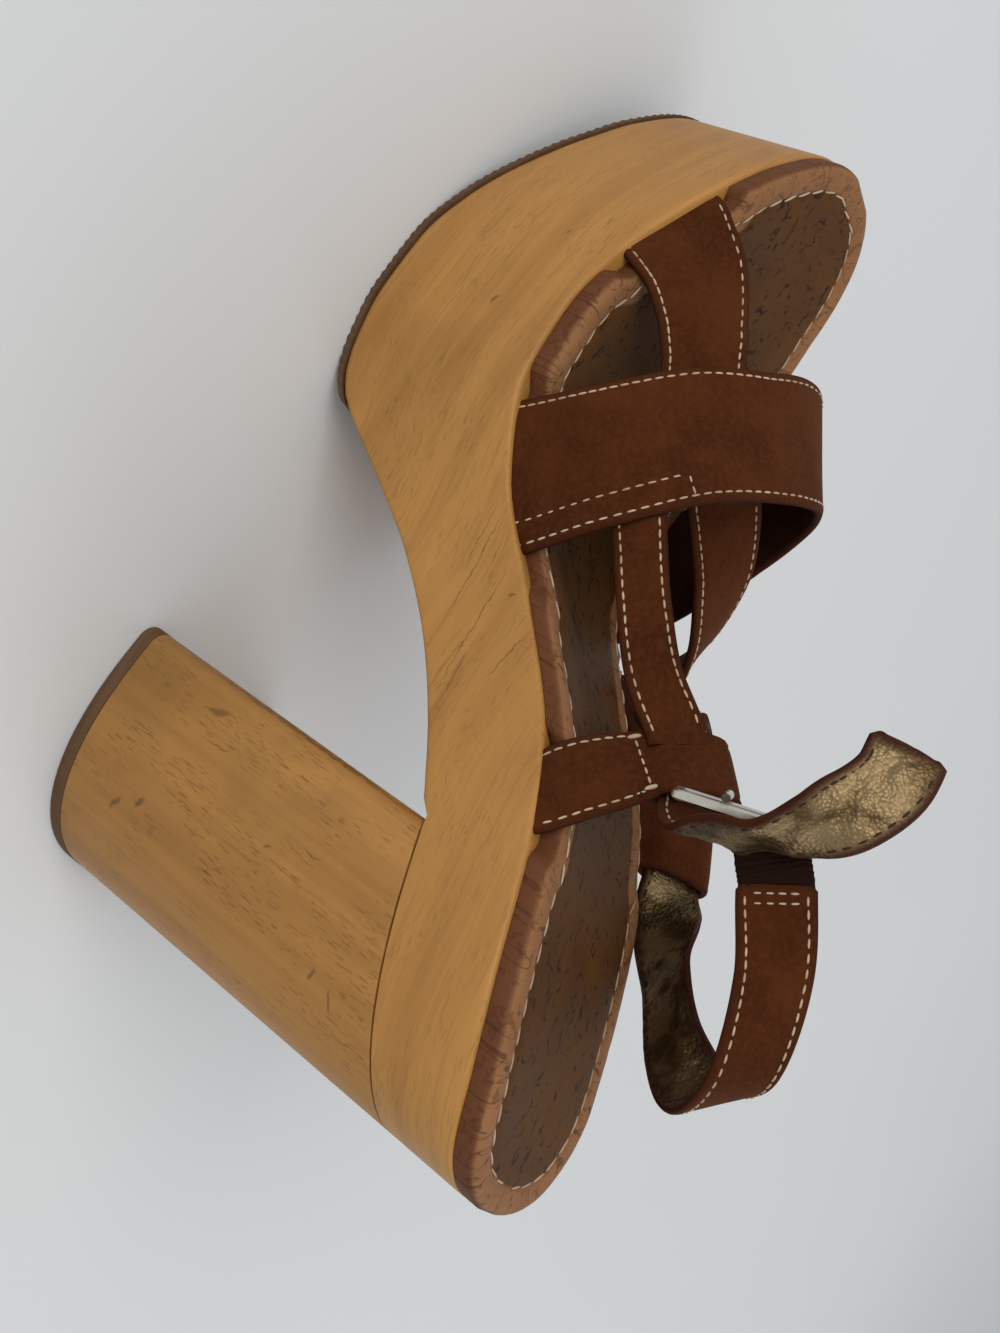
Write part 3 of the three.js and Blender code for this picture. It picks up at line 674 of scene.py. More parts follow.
def heel_prism(name, low, high_at, proud=0.0, steps=128):
    deselect()
    bpy.ops.mesh.primitive_circle_add(vertices=steps, radius=0.03, fill_type="NGON", location=(0, 0, 0))
    piece = bpy.context.object
    piece.name = name
    for i, vertex in enumerate(piece.data.vertices):
        rim = heel_rim(2 * math.pi * i / steps, proud)
        vertex.co = at(rim.x, rim.y, low)
    bpy.ops.object.mode_set(mode="EDIT")
    bpy.ops.mesh.select_all(action="SELECT")
    bpy.ops.mesh.extrude_region_move(TRANSFORM_OT_translate={"value": (0, 0, MM)})
    bpy.ops.object.mode_set(mode="OBJECT")
    for vertex in piece.data.vertices:
        if vertex.co.z > (low + 0.5) * MM:
            vertex.co.z = high_at((vertex.co.x - ORIGIN.x) / MM) * MM
    face_out(piece)
    return piece


heel = heel_prism("block_heel", TOP_LIFT + GAP * 0.3, lambda x: joint_z(x) - GAP / 2)
bevel(heel, 0.35 * MM)
smooth(heel, 38)
finish_piece(heel, ["heel_block"], [heel_wood])

rubber, tree, shader, place = new_material("brown_rubber")
scuffed = noise_at(tree, place, 90, 4, 0.5)
dusty = step(tree, noise_at(tree, stretched(tree, place, (60, 60, 500)), 1, 3), 0.45, 0.75)
colour = mixed(tree, scuffed, (0.085, 0.043, 0.021, 1), (0.14, 0.075, 0.036, 1))
colour = stained(tree, colour, dusty, 0.4, (0.20, 0.125, 0.070, 1))
rough, grit = plus_share(tree, 0.62, scuffed, 0.25), noise_at(tree, place, 1500, 3)
surface(tree, shader, colour, rough, 0.2, grit, 0.3, 0.0001)

lift = heel_prism("rubber_top_lift", 0, lambda x: TOP_LIFT, proud=0.15)
bevel(lift, 0.5 * MM)
smooth(lift, 38)
finish_piece(lift, ["heel_top_lift"], [rubber])

# %% [markdown]
# ## Outsole
# A thin rubber sole follows the underside of the platform. Its edge was trimmed with a toothed knife, so it
# has a fine serration. The loft has a section for every half tooth, and every second section stands a
# little proud.

# %% Build the outsole
HALF_TOOTH = 1.1
OUTSOLE_ACROSS = [1, 0.975, 0.6, 0.2, -0.2, -0.6, -0.975, -1]
fine = stations(117, SHOE_LENGTH - 1.5, HALF_TOOTH, heel_end=False, round_steps=34, first=0.12)
rings = []
for i, x in enumerate(fine):
    lat, med = half_widths(x)
    proud = 0.62 if i % 2 else 0.2
    tuck = tucked_in(x, lat, med)
    lat, med = lat - tuck + proud, med + tuck - proud
    high = under_z(x) - GAP * 0.4
    low = max(under_z(x) - GAP - OUTSOLE, 0.0)
    mid, half = (lat + med) / 2, (lat - med) / 2
    upper = [at(x, mid + half * q, high) for q in OUTSOLE_ACROSS]
    under = [at(x, mid + half * q * 0.995, low) for q in reversed(OUTSOLE_ACROSS)]
    rings.append(upper + under)
outsole = loft("thin_outsole", rings)
skin(outsole, 30)
finish_piece(outsole, ["outsole"], [rubber])

# %% [markdown]
# ## Cork footbed
# A sheet of cork is wrapped over a soft board, turned down at the edge and sewn all round about 6 mm in. So
# the rim is puffy, the stitch line sits in a shallow channel, and the middle is dished by the foot. The
# height of each point of a fine grid comes from its distance to the outline, which rounds the ends as well
# as the sides.

# %% Build the footbed
FOOTBED = 5.0
FOOTBED_IN = 0.8
NOTCH_DEPTH, NOTCH_RAMP = 3.6, 3
RIM = 2.2
STITCH_IN = 6.4


def footbed_edge(x, notched=True):
    def inset(notches):
        cuts = [min((x - a) / NOTCH_RAMP, (b - x) / NOTCH_RAMP, 1) for a, b in notches]
        return FOOTBED_IN + (NOTCH_DEPTH * max(0, *cuts) if notched else 0)
    lat, med = half_widths(x)
    return lat - inset(LATERAL_NOTCHES), med + inset(MEDIAL_NOTCHES)


def outline_points(notched):
    line = stations(0.2, SHOE_LENGTH - 0.6, 1.2, round_steps=26, first=0.02)
    upper, lower = ([Vector((x, footbed_edge(x, notched)[side])) for x in line] for side in (0, 1))
    return upper + lower[::-1]


edge_line = outline_points(True)
edge_run = [0.0]
for a, b in zip(edge_line, edge_line[1:]):
    edge_run.append(edge_run[-1] + (b - a).length)


def nearest_edge(point):
    """Distance to the outline, and how far round the outline its nearest place is."""
    nearest = min(range(len(edge_line)), key=lambda i: (edge_line[i] - point).length_squared)
    best, run = 1e6, 0
    for i in (nearest - 1, nearest):
        a, b = edge_line[i], edge_line[(i + 1) % len(edge_line)]
        share = min(max((point - a).dot(b - a) / (b - a).length_squared, 0), 1)
        distance = (a.lerp(b, share) - point).length
        if distance < best:
            best, run = distance, edge_run[i] + share * (b - a).length
    return best, run


def footbed_top(x, distance):
    z = top_z(x) + GAP + FOOTBED
    if distance < RIM:
        z -= RIM - math.sqrt(max(RIM * RIM - (RIM - distance) ** 2, 0))
    puff = 0.35 * math.sin(math.pi * min(distance / STITCH_IN, 1))
    channel = 0.45 * math.exp(-((distance - STITCH_IN) / 0.8) ** 2)
    dish = 0.9 * min(max((distance - STITCH_IN) / 16, 0), 1) ** 1.2
    return z + puff - channel - dish


xs = stations(0.2, SHOE_LENGTH - 0.6, 1.3, round_steps=22, first=0.03)
across = []
for k in range(65):
    even = 1 - 2 * k / 64
    across.append(math.sin(math.pi / 2 * even) * 0.35 + even * 0.65)
rings, distances, runs = [], [], []
for x in xs:
    lat, med = footbed_edge(x)
    mid, half = (lat + med) / 2, max((lat - med) / 2, 0.4)
    ring = []
    for q in across:
        point = Vector((x, mid + half * q))
        distance, run = nearest_edge(point)
        ripple = noise.noise(Vector((x * 0.09, point.y * 0.09, 3.0))) * 0.2
        crease = abs(noise.noise(Vector((x * 0.45, point.y * 0.3, 9.0))))
        crease *= 0.13 if distance < STITCH_IN else 0.065
        ring.append(at(x, point.y, footbed_top(x, distance) + ripple * min(distance / 4, 1) - crease))
        distances.append(distance * MM)
        runs.append(run * MM)
    runs += [runs[-1], runs[-len(across)]]
    ring += [at(x, mid + half * q, top_z(x) + GAP * 0.3) for q in (-0.99, 0.99)]
    distances += [0.0, 0.0]
    rings.append(ring)
footbed = loft("cork_footbed", rings)
point_values(footbed, "edge_distance", distances)
point_values(footbed, "edge_run", runs)
skin(footbed, 60)

cork, tree, shader, place = new_material("sealed_cork")
patch = noise_at(tree, place, 70, 4, 0.8)
depth = point_value(tree, "edge_distance")
along_rim = node(tree, "ShaderNodeCombineXYZ", X=point_value(tree, "edge_run"), Y=depth, Z=0.0).outputs[0]
rim_mask = step(tree, depth, (STITCH_IN + 0.4) * MM, (STITCH_IN - 0.8) * MM)
flakes = step(tree, noise_at(tree, stretched(tree, place, (300, 420, 320)), 1, 2, 1.2), 0.60, 0.65)
specks = step(tree, noise_at(tree, place, 420, 3, 0.4), 0.60, 0.70)
slits = step(tree, noise_at(tree, stretched(tree, along_rim, (520, 110, 1)), 1, 1, 0.8), 0.69, 0.75)
creases = noise_at(tree, stretched(tree, along_rim, (210, 45, 1)), 1, 1, 0.7)
crease = step(tree, maths(tree, "ABSOLUTE", minus(tree, creases, 0.52)), 0.010, 0.0)
middle = mixed(tree, patch, (0.052, 0.0180, 0.0042, 1), (0.116, 0.0480, 0.0110, 1))
rim_colour = mixed(tree, patch, (0.195, 0.083, 0.031, 1), (0.315, 0.150, 0.064, 1))
base = mixed(tree, rim_mask, middle, rim_colour)
flake_depth = minus(tree, 0.8, times(tree, rim_mask, 0.45))
base = stained(tree, base, flakes, flake_depth, (0.016, 0.006, 0.0025, 1))
base = stained(tree, base, specks, 0.4, (0.035, 0.016, 0.009, 1))
crack_mask = times(tree, maths(tree, "MAXIMUM", slits, times(tree, crease, 0.8)), rim_mask)
base = stained(tree, base, crack_mask, 0.7, (0.075, 0.027, 0.014, 1))
base = stained(tree, base, step(tree, depth, 0.9 * MM, 0.2 * MM), 0.75, (0.085, 0.022, 0.008, 1))
relief = minus(tree, times(tree, patch, 0.8), plus_share(tree, crack_mask, flakes, 0.5))
surface(tree, shader, base, plus_share(tree, 0.45, patch, 0.3), 0.12, relief, 0.6, 0.0004)
finish_piece(footbed, ["insole"], [cork])

# %% [markdown]
# ## Strap geometry
# Every strap is a flat ribbon that follows a line through the air. Each row gives the middle of the strap,
# the direction across it and half its width. A smooth curve through the rows is walked in equal steps, so
# stitches and creases keep their real size along the strap.

# %% Strap tables: x, y, z of the middle, then the direction across, then half width
BAND = [(118, 35.7, 53.7, .79, .19, -.59, 16.8), (121.6, 36.3, 58.9, .79, .19, -.59, 16.7),
        (132.2, 37.7, 71.2, .8, .12, -.59, 15.9), (148.3, 31.4, 83.8, .81, .02, -.58, 15.4),
        (160.7, 16.7, 90.9, .82, 0, -.57, 14.7), (168.6, -.3, 90.3, .82, 0, -.57, 14.8),
        (168, -17, 84, .82, -.05, -.56, 15.3), (157, -29.5, 73.5, .83, -.15, -.52, 15.8),
        (142, -33.3, 62.5, .85, -.22, -.47, 16.4), (129, -32.4, 54.5, .87, -.25, -.42, 16.6),
        (124.4, -31.4, 50, .87, -.25, -.42, 16.6)]
CROSS = [(187.6, 35.2, 44.6, .93, -.35, .07, 13.8), (185.4, 35, 49.5, .94, -.34, .07, 13.9),
         (179.8, 32.6, 58.6, .95, -.31, .07, 12.2), (170.4, 29.6, 67, .9, -.35, .27, 9.8),
         (164, 28.8, 71.6, .78, -.36, .5, 9), (157.4, 27.9, 76, .66, -.36, .66, 8.7),
         (151.5, 15, 80.5, .65, -.5, .55, 8.7), (144.3, .3, 83.4, .63, -.64, .41, 8.8),
         (135.6, -12.9, 85, .61, -.77, .14, 9), (124, -24, 84, .5, -.8, -.3, 9.3),
         (112.5, -27.8, 80.6, .6, -.5, -.55, 9.8), (102.5, -25.6, 77, .7, -.12, -.68, 9.9),
         (99.5, -24.6, 71.5, .7, -.12, -.68, 9.9)]
STEM = [(133.6, 33.8, 79.1, .55, -.17, .82, 5.6), (128.4, 33.3, 82.8, .55, -.17, .82, 5.6),
        (120, 31, 88.8, .56, -.2, .8, 5.4), (112.9, 29.2, 94.2, .6, -.25, .76, 5.4),
        (101.8, 25.8, 104, .66, -.4, .64, 5.8), (95.2, 23, 113.1, .55, -.5, .65, 6.2),
        (92.4, 23.4, 116.4, .5, -.58, .64, 6.2)]
LATERAL_SIDE = dict(rows=[(67, 30.6, 98.4), (69.8, 31.1, 102.4), (76, 31.2, 107.5)], stitch=(85.7, 26, 115),
                    axis=(-.607, .298, .738), up=(.469, -.6, .632))
MEDIAL_SIDE = dict(rows=[(77.4, -22.7, 92.6), (78.6, -23.4, 96), (79.6, -25.6, 97.6)],
                   stitch=(81, -28.8, 98.6), axis=(-.8, .22, .55), up=(.2, -.74, .58))
ANKLE_BACK = [(80.8, 19.3, 146.8, .66, -.1, .75), (66.5, 17.2, 155.7, .5, -.5, .68),
              (49, 10.5, 159.4, .5, -.68, .53), (42.2, -3, 151.5, .8, -.42, .42),
              (46.6, -13.5, 137.5, .88, .25, .35), (57.2, -22, 124.6, .72, .5, .42),
              (66.6, -28.8, 115.4, .55, 0, .7)]
ANKLE_FRONT = [(95.5, -34.8, 97.4, .32, -.5, .8), (100.5, -24, 96.4, .4, -.1, .9),
               (102, -9, 98.4, .42, .1, .9), (101, 5, 102.2, .45, -.1, .87),
               (97.5, 13.8, 107.8, .48, -.45, .74)]
ANKLE_TAIL = [(81.4, 27.6, 130.2, .42, -.45, .78), (79.8, 31.4, 134.4, .35, -.4, .85),
              (81.4, 34, 138.8, .3, -.5, .8), (85, 34.4, 144.8, .3, -.85, .4),
              (90.2, 33.8, 150, .1, -.8, .55), (98.2, 32.6, 155.2, -.15, -.4, .9),
              (105.6, 31.8, 157.4, 0, -.35, .92),
              (112.7, 31.2, 156.4, .15, -.33, .91)]
ELASTIC_ROWS = [(88.5, 23, 141.8, .4, -.3, .86), (85, 21.4, 143.4, .5, -.2, .82),
                (82.2, 20.2, 145.7, .66, -.1, .75)]
STRAP, ANKLE, ELASTIC = 2.0, 1.8, 1.4
PITCH = 2.45
SIDE_HALF, ANKLE_HALF = 8.4, 7.5
LOOP_DEPTH, LOOP_GAP = 15.5, 2.6

# %% Curves through the rows


def through(points):
    """Centripetal curve through the points, as a function of 0 to 1."""
    last = len(points) - 1

    def value(t):
        place_at = min(max(t, 0), 1) * last
        i = min(int(place_at), last - 1)
        w = place_at - i
        p1, p2 = points[i], points[i + 1]
        p0 = points[i - 1] if i > 0 else p1 * 2 - p2
        p3 = points[i + 2] if i + 2 <= last else p2 * 2 - p1
        d0, d1, d2 = ((b - a).length ** 0.5 for a, b in ((p0, p1), (p1, p2), (p2, p3)))
        d1 = d1 if d1 > 1e-4 else 1.0
        d0 = d0 if d0 > 1e-4 else d1
        d2 = d2 if d2 > 1e-4 else d1
        t1 = ((p1 - p0) / d0 - (p2 - p0) / (d0 + d1) + (p2 - p1) / d1) * d1
        t2 = ((p2 - p1) / d1 - (p3 - p1) / (d1 + d2) + (p3 - p2) / d2) * d1
        return p1 + t1 * w + (p2 * 3 - p1 * 3 - t1 * 2 - t2) * w * w + (p1 * 2 - p2 * 2 + t1 + t2) * w ** 3
    return value


def walk(rows, half=None, flip=False, spacing=0.9):
    """Evenly spaced frames along a strap: length, middle, along, across, outwards, half width."""
    centre = through([Vector(row[:3]) for row in rows])
    sideways = through([Vector(row[3:6]) for row in rows])
    fine_steps = 40 * (len(rows) - 1)
    points = [centre(i / fine_steps) for i in range(fine_steps + 1)]
    lengths = [0.0]
    for a, b in zip(points, points[1:]):
        lengths.append(lengths[-1] + (b - a).length)
    count = max(int(lengths[-1] / spacing), 2)
    frames, k = [], 0
    for n in range(count + 1):
        target = lengths[-1] * n / count
        while k < fine_steps - 1 and lengths[k + 1] < target:
            k += 1
        t = (k + (target - lengths[k]) / max(lengths[k + 1] - lengths[k], 1e-9)) / fine_steps
        along = (centre(min(t + 1e-3, 1)) - centre(max(t - 1e-3, 0))).normalized()
        side = sideways(t)
        side = (side - along * side.dot(along)).normalized()
        out = along.cross(side)
        span = min(t, 1) * (len(rows) - 1)
        row = min(int(span), len(rows) - 2)
        wide = half if half else rows[row][6] + (rows[row + 1][6] - rows[row][6]) * (span - row)
        if flip:
            side, out = -side, -out
        frames.append((target, centre(t), along, side, out, wide))
    return frames


def frame_at(frames, length):
    share = min(max(length / frames[-1][0], 0), 1) * (len(frames) - 1)
    i = min(int(share), len(frames) - 2)
    w = share - i
    a, b = frames[i], frames[i + 1]
    return tuple(p + (q - p) * w for p, q in zip(a, b))


# %% [markdown]
# ## One strap
# A strap is two layers: suede outside and a thin lining inside, glued, sewn near both edges and trimmed. So
# the section is not a plain rectangle. The edges are thin and rounded, a shallow channel runs under each
# row of stitches, and the middle is a little fuller. Outside, edge and lining are three materials on one
# closed mesh.

# %% Strap builder
OUTER = [(0.1, 0.55), (0.4, 0.2), (0.9, 0.02), (1.7, 0.14), (2.6, 0.0), (4.2, -0.06)]


def strap_mesh(name, frames, thickness, seed, start_round=0.0, end_round=0.0, crinkle=0.0, sag=0.12):
    rings, distances, kinds = [], [], []
    total = frames[-1][0]
    for length, middle, along, side, out, wide in frames:
        trim = 0.0
        for radius, away in ((start_round, length), (end_round, total - length)):
            if radius and away < radius:
                trim = max(trim, radius - math.sqrt(max(radius ** 2 - (radius - away) ** 2, 0)))
        wide = max(wide - trim, 0.5)
        to_end = min(length, total - length) if start_round else total
        inner_limit = min(4.2, wide * 0.8)
        rows = [(min(e, inner_limit * (k + 1) / len(OUTER)) if e > inner_limit else e, drop)
                for k, (e, drop) in enumerate(OUTER)]
        fill = [(wide - rows[-1][0]) * f for f in (0.6, 0.2, -0.2, -0.6)]
        ahead_half = [(wide - e, e, drop) for e, drop in rows]
        back_half = [(-(wide - e), e, drop) for e, drop in reversed(rows)]
        line = ahead_half + [(v, wide - abs(v), -0.08) for v in fill] + back_half
        ring, dist = [], []
        for face in (1, -1):
            for v, e, drop in (line if face > 0 else reversed(line)):
                height = thickness / 2 - drop
                height -= 0.07 * math.cos(2 * math.pi * length / PITCH) if 1.2 < e < 2.2 else 0
                spot = middle + side * v
                wave = noise.noise(spot * 0.05 + Vector((seed, 0, 0))) * sag * min(e / 3, 1)
                if face < 0 and crinkle:
                    folds = abs(noise.noise(spot * 0.33 + Vector((0, seed, 4))))
                    folds += 0.6 * abs(noise.noise(spot * 0.8))
                    height += crinkle * (0.45 - folds) * min(e / 1.5, 1)
                ring.append(spot + out * (face * height + wave))
                dist.append(min(e, to_end) * MM)
            edge_sign = -1 if face > 0 else 1
            ring.append(middle + side * edge_sign * wide)
            dist.append(0.0)
        rings.append([at(*p) for p in ring])
        distances += dist
    piece = loft(name, rings)
    point_values(piece, "edge_distance", distances)
    size = len(rings[0])
    half_ring = size // 2
    for polygon in piece.data.polygons:
        js = sorted(v % size for v in polygon.vertices)
        if len(js) > 4:
            kinds.append(1)
            continue
        low, high = min(js), max(js)
        near_end = low in (half_ring - 2, half_ring - 1, size - 2, size - 1)
        near_start = low in (0, half_ring) and high in (1, half_ring + 1)
        near_edge = high - low > 2 or near_end or near_start
        kinds.append(1 if near_edge else (0 if high < half_ring else 2))
    piece.data.polygons.foreach_set("material_index", kinds)
    skin(piece, 50)
    return piece


# %% Suede, cut edge and lining
suede, tree, shader, place = new_material("cognac_suede")
brushed = noise_at(tree, place, 60, 3, 0.7)
nap = noise_at(tree, place, 900, 2, 0.2)
fibres = noise_at(tree, place, 4200, 1)
edge_mask = place_group(tree, edge_group, Reach=0.0017).outputs[0]
base = mixed(tree, step(tree, brushed, 0.3, 0.72), (0.047, 0.0118, 0.0030, 1), (0.074, 0.0200, 0.0052, 1))
base = stained(tree, base, step(tree, nap, 0.35, 0.7), 0.4, (0.098, 0.029, 0.0088, 1))
base = stained(tree, base, step(tree, fibres, 0.5, 0.75), 0.25, (0.036, 0.009, 0.003, 1))
base = stained(tree, base, edge_mask, 0.5, (0.040, 0.010, 0.004, 1))
pile = plus(tree, times(tree, nap, 0.7), times(tree, fibres, 0.4))
surface(tree, shader, base, plus_share(tree, 0.82, nap, 0.16), 0.06, pile, 0.5, 0.00022)
shader.inputs["Sheen Weight"].default_value = 0.07
shader.inputs["Sheen Roughness"].default_value = 0.5
shader.inputs["Sheen Tint"].default_value = (0.85, 0.42, 0.2, 1)

cut_edge = noisy_material("dark_cut_edge", (300, 3), ((0.022, 0.006, 0.003, 1), (0.060, 0.018, 0.008, 1)),
                          (0.65, 0.3), 0.05, 0.4)
lining_browns = (0.030, 0.009, 0.0045, 1), (0.065, 0.023, 0.011, 1)
plain_lining = noisy_material("brown_lining", (200, 4, 0.3), lining_browns, (0.65, 0.3), 0.05, 0.4)

lining, tree, shader, place = new_material("antique_gold_lining")
folds = node(tree, "ShaderNodeTexNoise", {"noise_type": "RIDGED_MULTIFRACTAL"}, Vector=place, Scale=170.0,
             Detail=3.0, Distortion=0.6).outputs["Fac"]
tone = noise_at(tree, place, 120, 3, 0.5)
edge_mask = place_group(tree, edge_group, Reach=0.0027).outputs[0]
pebble = node(tree, "ShaderNodeTexVoronoi", Vector=place, Scale=1300.0).outputs["Distance"]
base = mixed(tree, step(tree, tone, 0.38, 0.62), (0.098, 0.062, 0.028, 1), (0.255, 0.178, 0.090, 1))
base = mixed(tree, edge_mask, base, (0.045, 0.012, 0.005, 1))
relief = plus_share(tree, folds, minus(tree, tone, pebble), 0.28)
surface(tree, shader, base, plus_share(tree, 0.30, tone, 0.25), 0.1, relief, 0.8, 0.0009)
feed(tree, shader.inputs["Metallic"], times(tree, minus(tree, 1.0, edge_mask), 0.85))
print("leathers", suede.name, cut_edge.name, lining.name, plain_lining.name)

# %% [markdown]
# ## The straps over the foot
# The wide band crosses the ball of the foot, the cross strap dives under it, and the stem joins the band to
# the side strap. Their outsides face away from a line through the middle of the foot, which settles which
# face gets the suede.

# %% Front straps


def faces_outwards(rows, half=None, inside_point=None, share=0.5):
    frames = walk(rows, half)
    _, middle, _, _, out, _ = frame_at(frames, frames[-1][0] * share)
    reference = inside_point or Vector((middle.x, 0, 60))
    return walk(rows, half, flip=out.dot(middle - reference) < 0)


band = faces_outwards(BAND)
cross = faces_outwards(CROSS)
stem = faces_outwards(STEM, share=0.4)
leather = [suede, cut_edge, plain_lining]
front_straps = [strap_mesh("front_band", band, STRAP, 1), strap_mesh("cross_strap", cross, STRAP, 2),
                strap_mesh("stem_strap", stem, STRAP, 3, sag=0.05)]
for piece in front_straps:
    finish_piece(piece, ["upper_straps"], leather)

# %% [markdown]
# ## Side straps with their loops
# Each side strap rises from the footbed and is folded back on itself to make a loop for the ankle strap. On
# the real shoe it is one long piece of leather, so here it is one ribbon too: up the outside, round the
# fold, and down the inside to the stitch line.

# %% Side straps


def loop_axes(side):
    axis = Vector(side["axis"]).normalized()
    up = Vector(side["up"])
    up = (up - axis * up.dot(axis)).normalized()
    return axis, up, axis.cross(up), Vector(side["stitch"])


def side_rows(side, outwards):
    axis, up, out, origin = loop_axes(side)
    gap = LOOP_GAP * outwards

    def row(up_by, out_by):
        return (*(origin + up * up_by + out * out_by), *axis)
    foot = [(*p, -0.78, 0, 0.62) for p in side["rows"]]
    rise = [(0, 0.95 * outwards), (2.5, gap * 0.9), (6, gap), (LOOP_DEPTH - 2, gap),
            (LOOP_DEPTH + 0.6, gap * 0.6)]
    fall = [(up_by, -out_by) for up_by, out_by in reversed(rise)]
    around = rise + [(LOOP_DEPTH + 1.2, 0)] + fall + [(-3, -0.4 * outwards)]
    return foot + [row(up_by, out_by) for up_by, out_by in around]


lateral = faces_outwards(side_rows(LATERAL_SIDE, 1), SIDE_HALF, Vector((70, 0, 100)), 0.1)
medial = faces_outwards(side_rows(MEDIAL_SIDE, -1), SIDE_HALF, Vector((80, 0, 100)), 0.1)
LOOP_STRAP = STRAP * 0.96
lateral_loop = strap_mesh("lateral_side_loop", lateral, LOOP_STRAP, 4, sag=0.04)
finish_piece(lateral_loop, ["upper_straps"], leather)
medial_loop = strap_mesh("medial_side_loop", medial, LOOP_STRAP, 5, sag=0.04)
finish_piece(medial_loop, ["medial_side_strap"], leather)

# %% [markdown]
# ## The ankle strap
# One long strap runs from its sewn end on the elastic, round the back, through both loops and up to a free
# tail. It hangs slack, and its gold lining is crinkled.

# %% Ankle strap


def through_loop(side):
    axis, up, _, origin = loop_axes(side)
    middle = origin + up * (LOOP_DEPTH / 2 + 0.4)
    return [(*(middle + axis * s), *up) for s in (-8.4, 0, 8.4)]


ankle_rows = ANKLE_BACK + through_loop(MEDIAL_SIDE)[::-1] + ANKLE_FRONT
ankle_rows += through_loop(LATERAL_SIDE) + ANKLE_TAIL
ankle = faces_outwards(ankle_rows, ANKLE_HALF, Vector((75, 0, 140)), 0.12)
print("ankle strap length", round(ankle[-1][0], 1), "mm")
ankle_strap = strap_mesh("ankle_strap_slack", ankle, ANKLE, 6, start_round=0.8, end_round=1.2,
                         crinkle=0.8, sag=0.3)
finish_piece(ankle_strap, ["ankle_strap"], [suede, cut_edge, lining])

# %% [markdown]
# ## Elastic
# A short piece of ribbed webbing lets the ankle strap give. The ribs run across it about every millimetre, so
# they are modelled, about four sections to a rib.

# %% Elastic
elastic = noisy_material("ribbed_elastic", (2500, 2), ((0.007, 0.003, 0.002, 1), (0.026, 0.010, 0.006, 1)),
                         (0.7, 0.25), 0.06, 0.5)

RIB = 1.05
WEB_ACROSS = [1, 0.97, 0.9, 0.6, 0.2, -0.2, -0.6, -0.9, -0.97, -1]
WEB_THICK = [0.25, 0.6, 0.95, 1, 1, 1, 1, 0.95, 0.6, 0.25]
sewn_end = [(80.9, 19.35, 146.7, .66, -.1, .75), (79.7, 19.1, 147.5, .66, -.1, .75)]
elastic_frames = walk(ELASTIC_ROWS + sewn_end, ANKLE_HALF - 0.4, spacing=0.25)
rings = []
for length, middle, along, side, out, wide in elastic_frames:
    thick = ELASTIC / 2 - 0.1 + 0.16 * math.cos(2 * math.pi * length / RIB)
    wide -= 0.14 * abs(math.sin(math.pi * length / RIB))
    upper = [middle + side * q * wide + out * thick * h for q, h in zip(WEB_ACROSS, WEB_THICK)]
    lower = [middle + side * q * wide - out * thick * h for q, h in zip(WEB_ACROSS, WEB_THICK)]
    rings.append([at(*p) for p in upper + lower[::-1]])
webbing = loft("elastic_webbing", rings)
skin(webbing, 40)
finish_piece(webbing, ["ankle_elastic"], [elastic])

# %% [markdown]
# ## Buckle
# A rectangle of flat bar with a pin across it. The bar has small bevels all round and goes round the
# corners in short steps. The pin is a short round wire that lies on the frame, with both ends bent down a
# little.

# %% Buckle
steel = noisy_material("nickel_wire", (260, 4), ((0.46, 0.43, 0.38, 1), (0.70, 0.67, 0.60, 1)), (0.18, 0.22))
steel.node_tree.nodes["Principled BSDF"].inputs["Metallic"].default_value = 1.0

BUCKLE_WIDTH, BUCKLE_DEPTH = 19.4, 9.8
across_bar = Vector((0.3, -0.28, 0.91)).normalized()
inwards = Vector((0.32, -0.95, -0.05))
inwards = (inwards - across_bar * inwards.dot(across_bar)).normalized()
face = across_bar.cross(inwards)
bar_middle = Vector((84.8, 35.9, 136.3))


def buckle_point(a, b, c=0.0):
    return at(*(bar_middle + across_bar * a + inwards * b + face * c))


BAR, BEND = 1.0, 1.4
BAR_SECTION = [(1, 0.6), (0.6, 0.95), (-0.6, 0.95), (-1, 0.6)]
BAR_SECTION += [(-p, -q) for p, q in BAR_SECTION]
corner_a, corner_b = BUCKLE_WIDTH / 2 - BAR - BEND, BUCKLE_DEPTH - BEND
bar_rings = []
for centre_a, centre_b, start in ((corner_a, BEND, -90), (corner_a, corner_b, 0), (-corner_a, corner_b, 90),
                                  (-corner_a, BEND, 180)):
    for k in range(7):
        angle = math.radians(start + 15 * k)
        bar_rings.append([buckle_point(centre_a + (BEND + BAR * p) * math.cos(angle),
                                       centre_b + (BEND + BAR * p) * math.sin(angle), BAR * q)
                          for p, q in BAR_SECTION])


def round_wire(name, points, radius):
    curve = bpy.data.curves.new(name, "CURVE")
    curve.dimensions = "3D"
    curve.bevel_depth = radius * MM
    curve.bevel_resolution = 4
    curve.use_fill_caps = True
    spline = curve.splines.new("POLY")
    spline.points.add(len(points) - 1)
    for target, p in zip(spline.points, points):
        target.co = (*p, 1)
    choose(put(name, curve))
    bpy.ops.object.convert(target="MESH")
    made = bpy.context.object
    skin(made, 50, 1e-6)
    return made


frame_wire = loft("buckle_wire", bar_rings + bar_rings[:1], caps=False)
skin(frame_wire, 30, 1e-6)
finish_piece(frame_wire, ["buckle_frame"], [steel])
PIN = 0.9
rise = BAR + PIN + GAP
pin_places = [(BUCKLE_DEPTH + 0.3, rise - 0.2), (BUCKLE_DEPTH - 1, rise)]
pin_places += [(BUCKLE_DEPTH * share, rise) for share in (0.7, 0.4, 0.15)]
pin_places += [(-0.3, rise - 0.05), (-0.6, rise - 0.15)]
pin = round_wire("buckle_pin", [buckle_point(0, b, c) for b, c in pin_places], PIN)
finish_piece(pin, ["buckle_prong"], [steel])

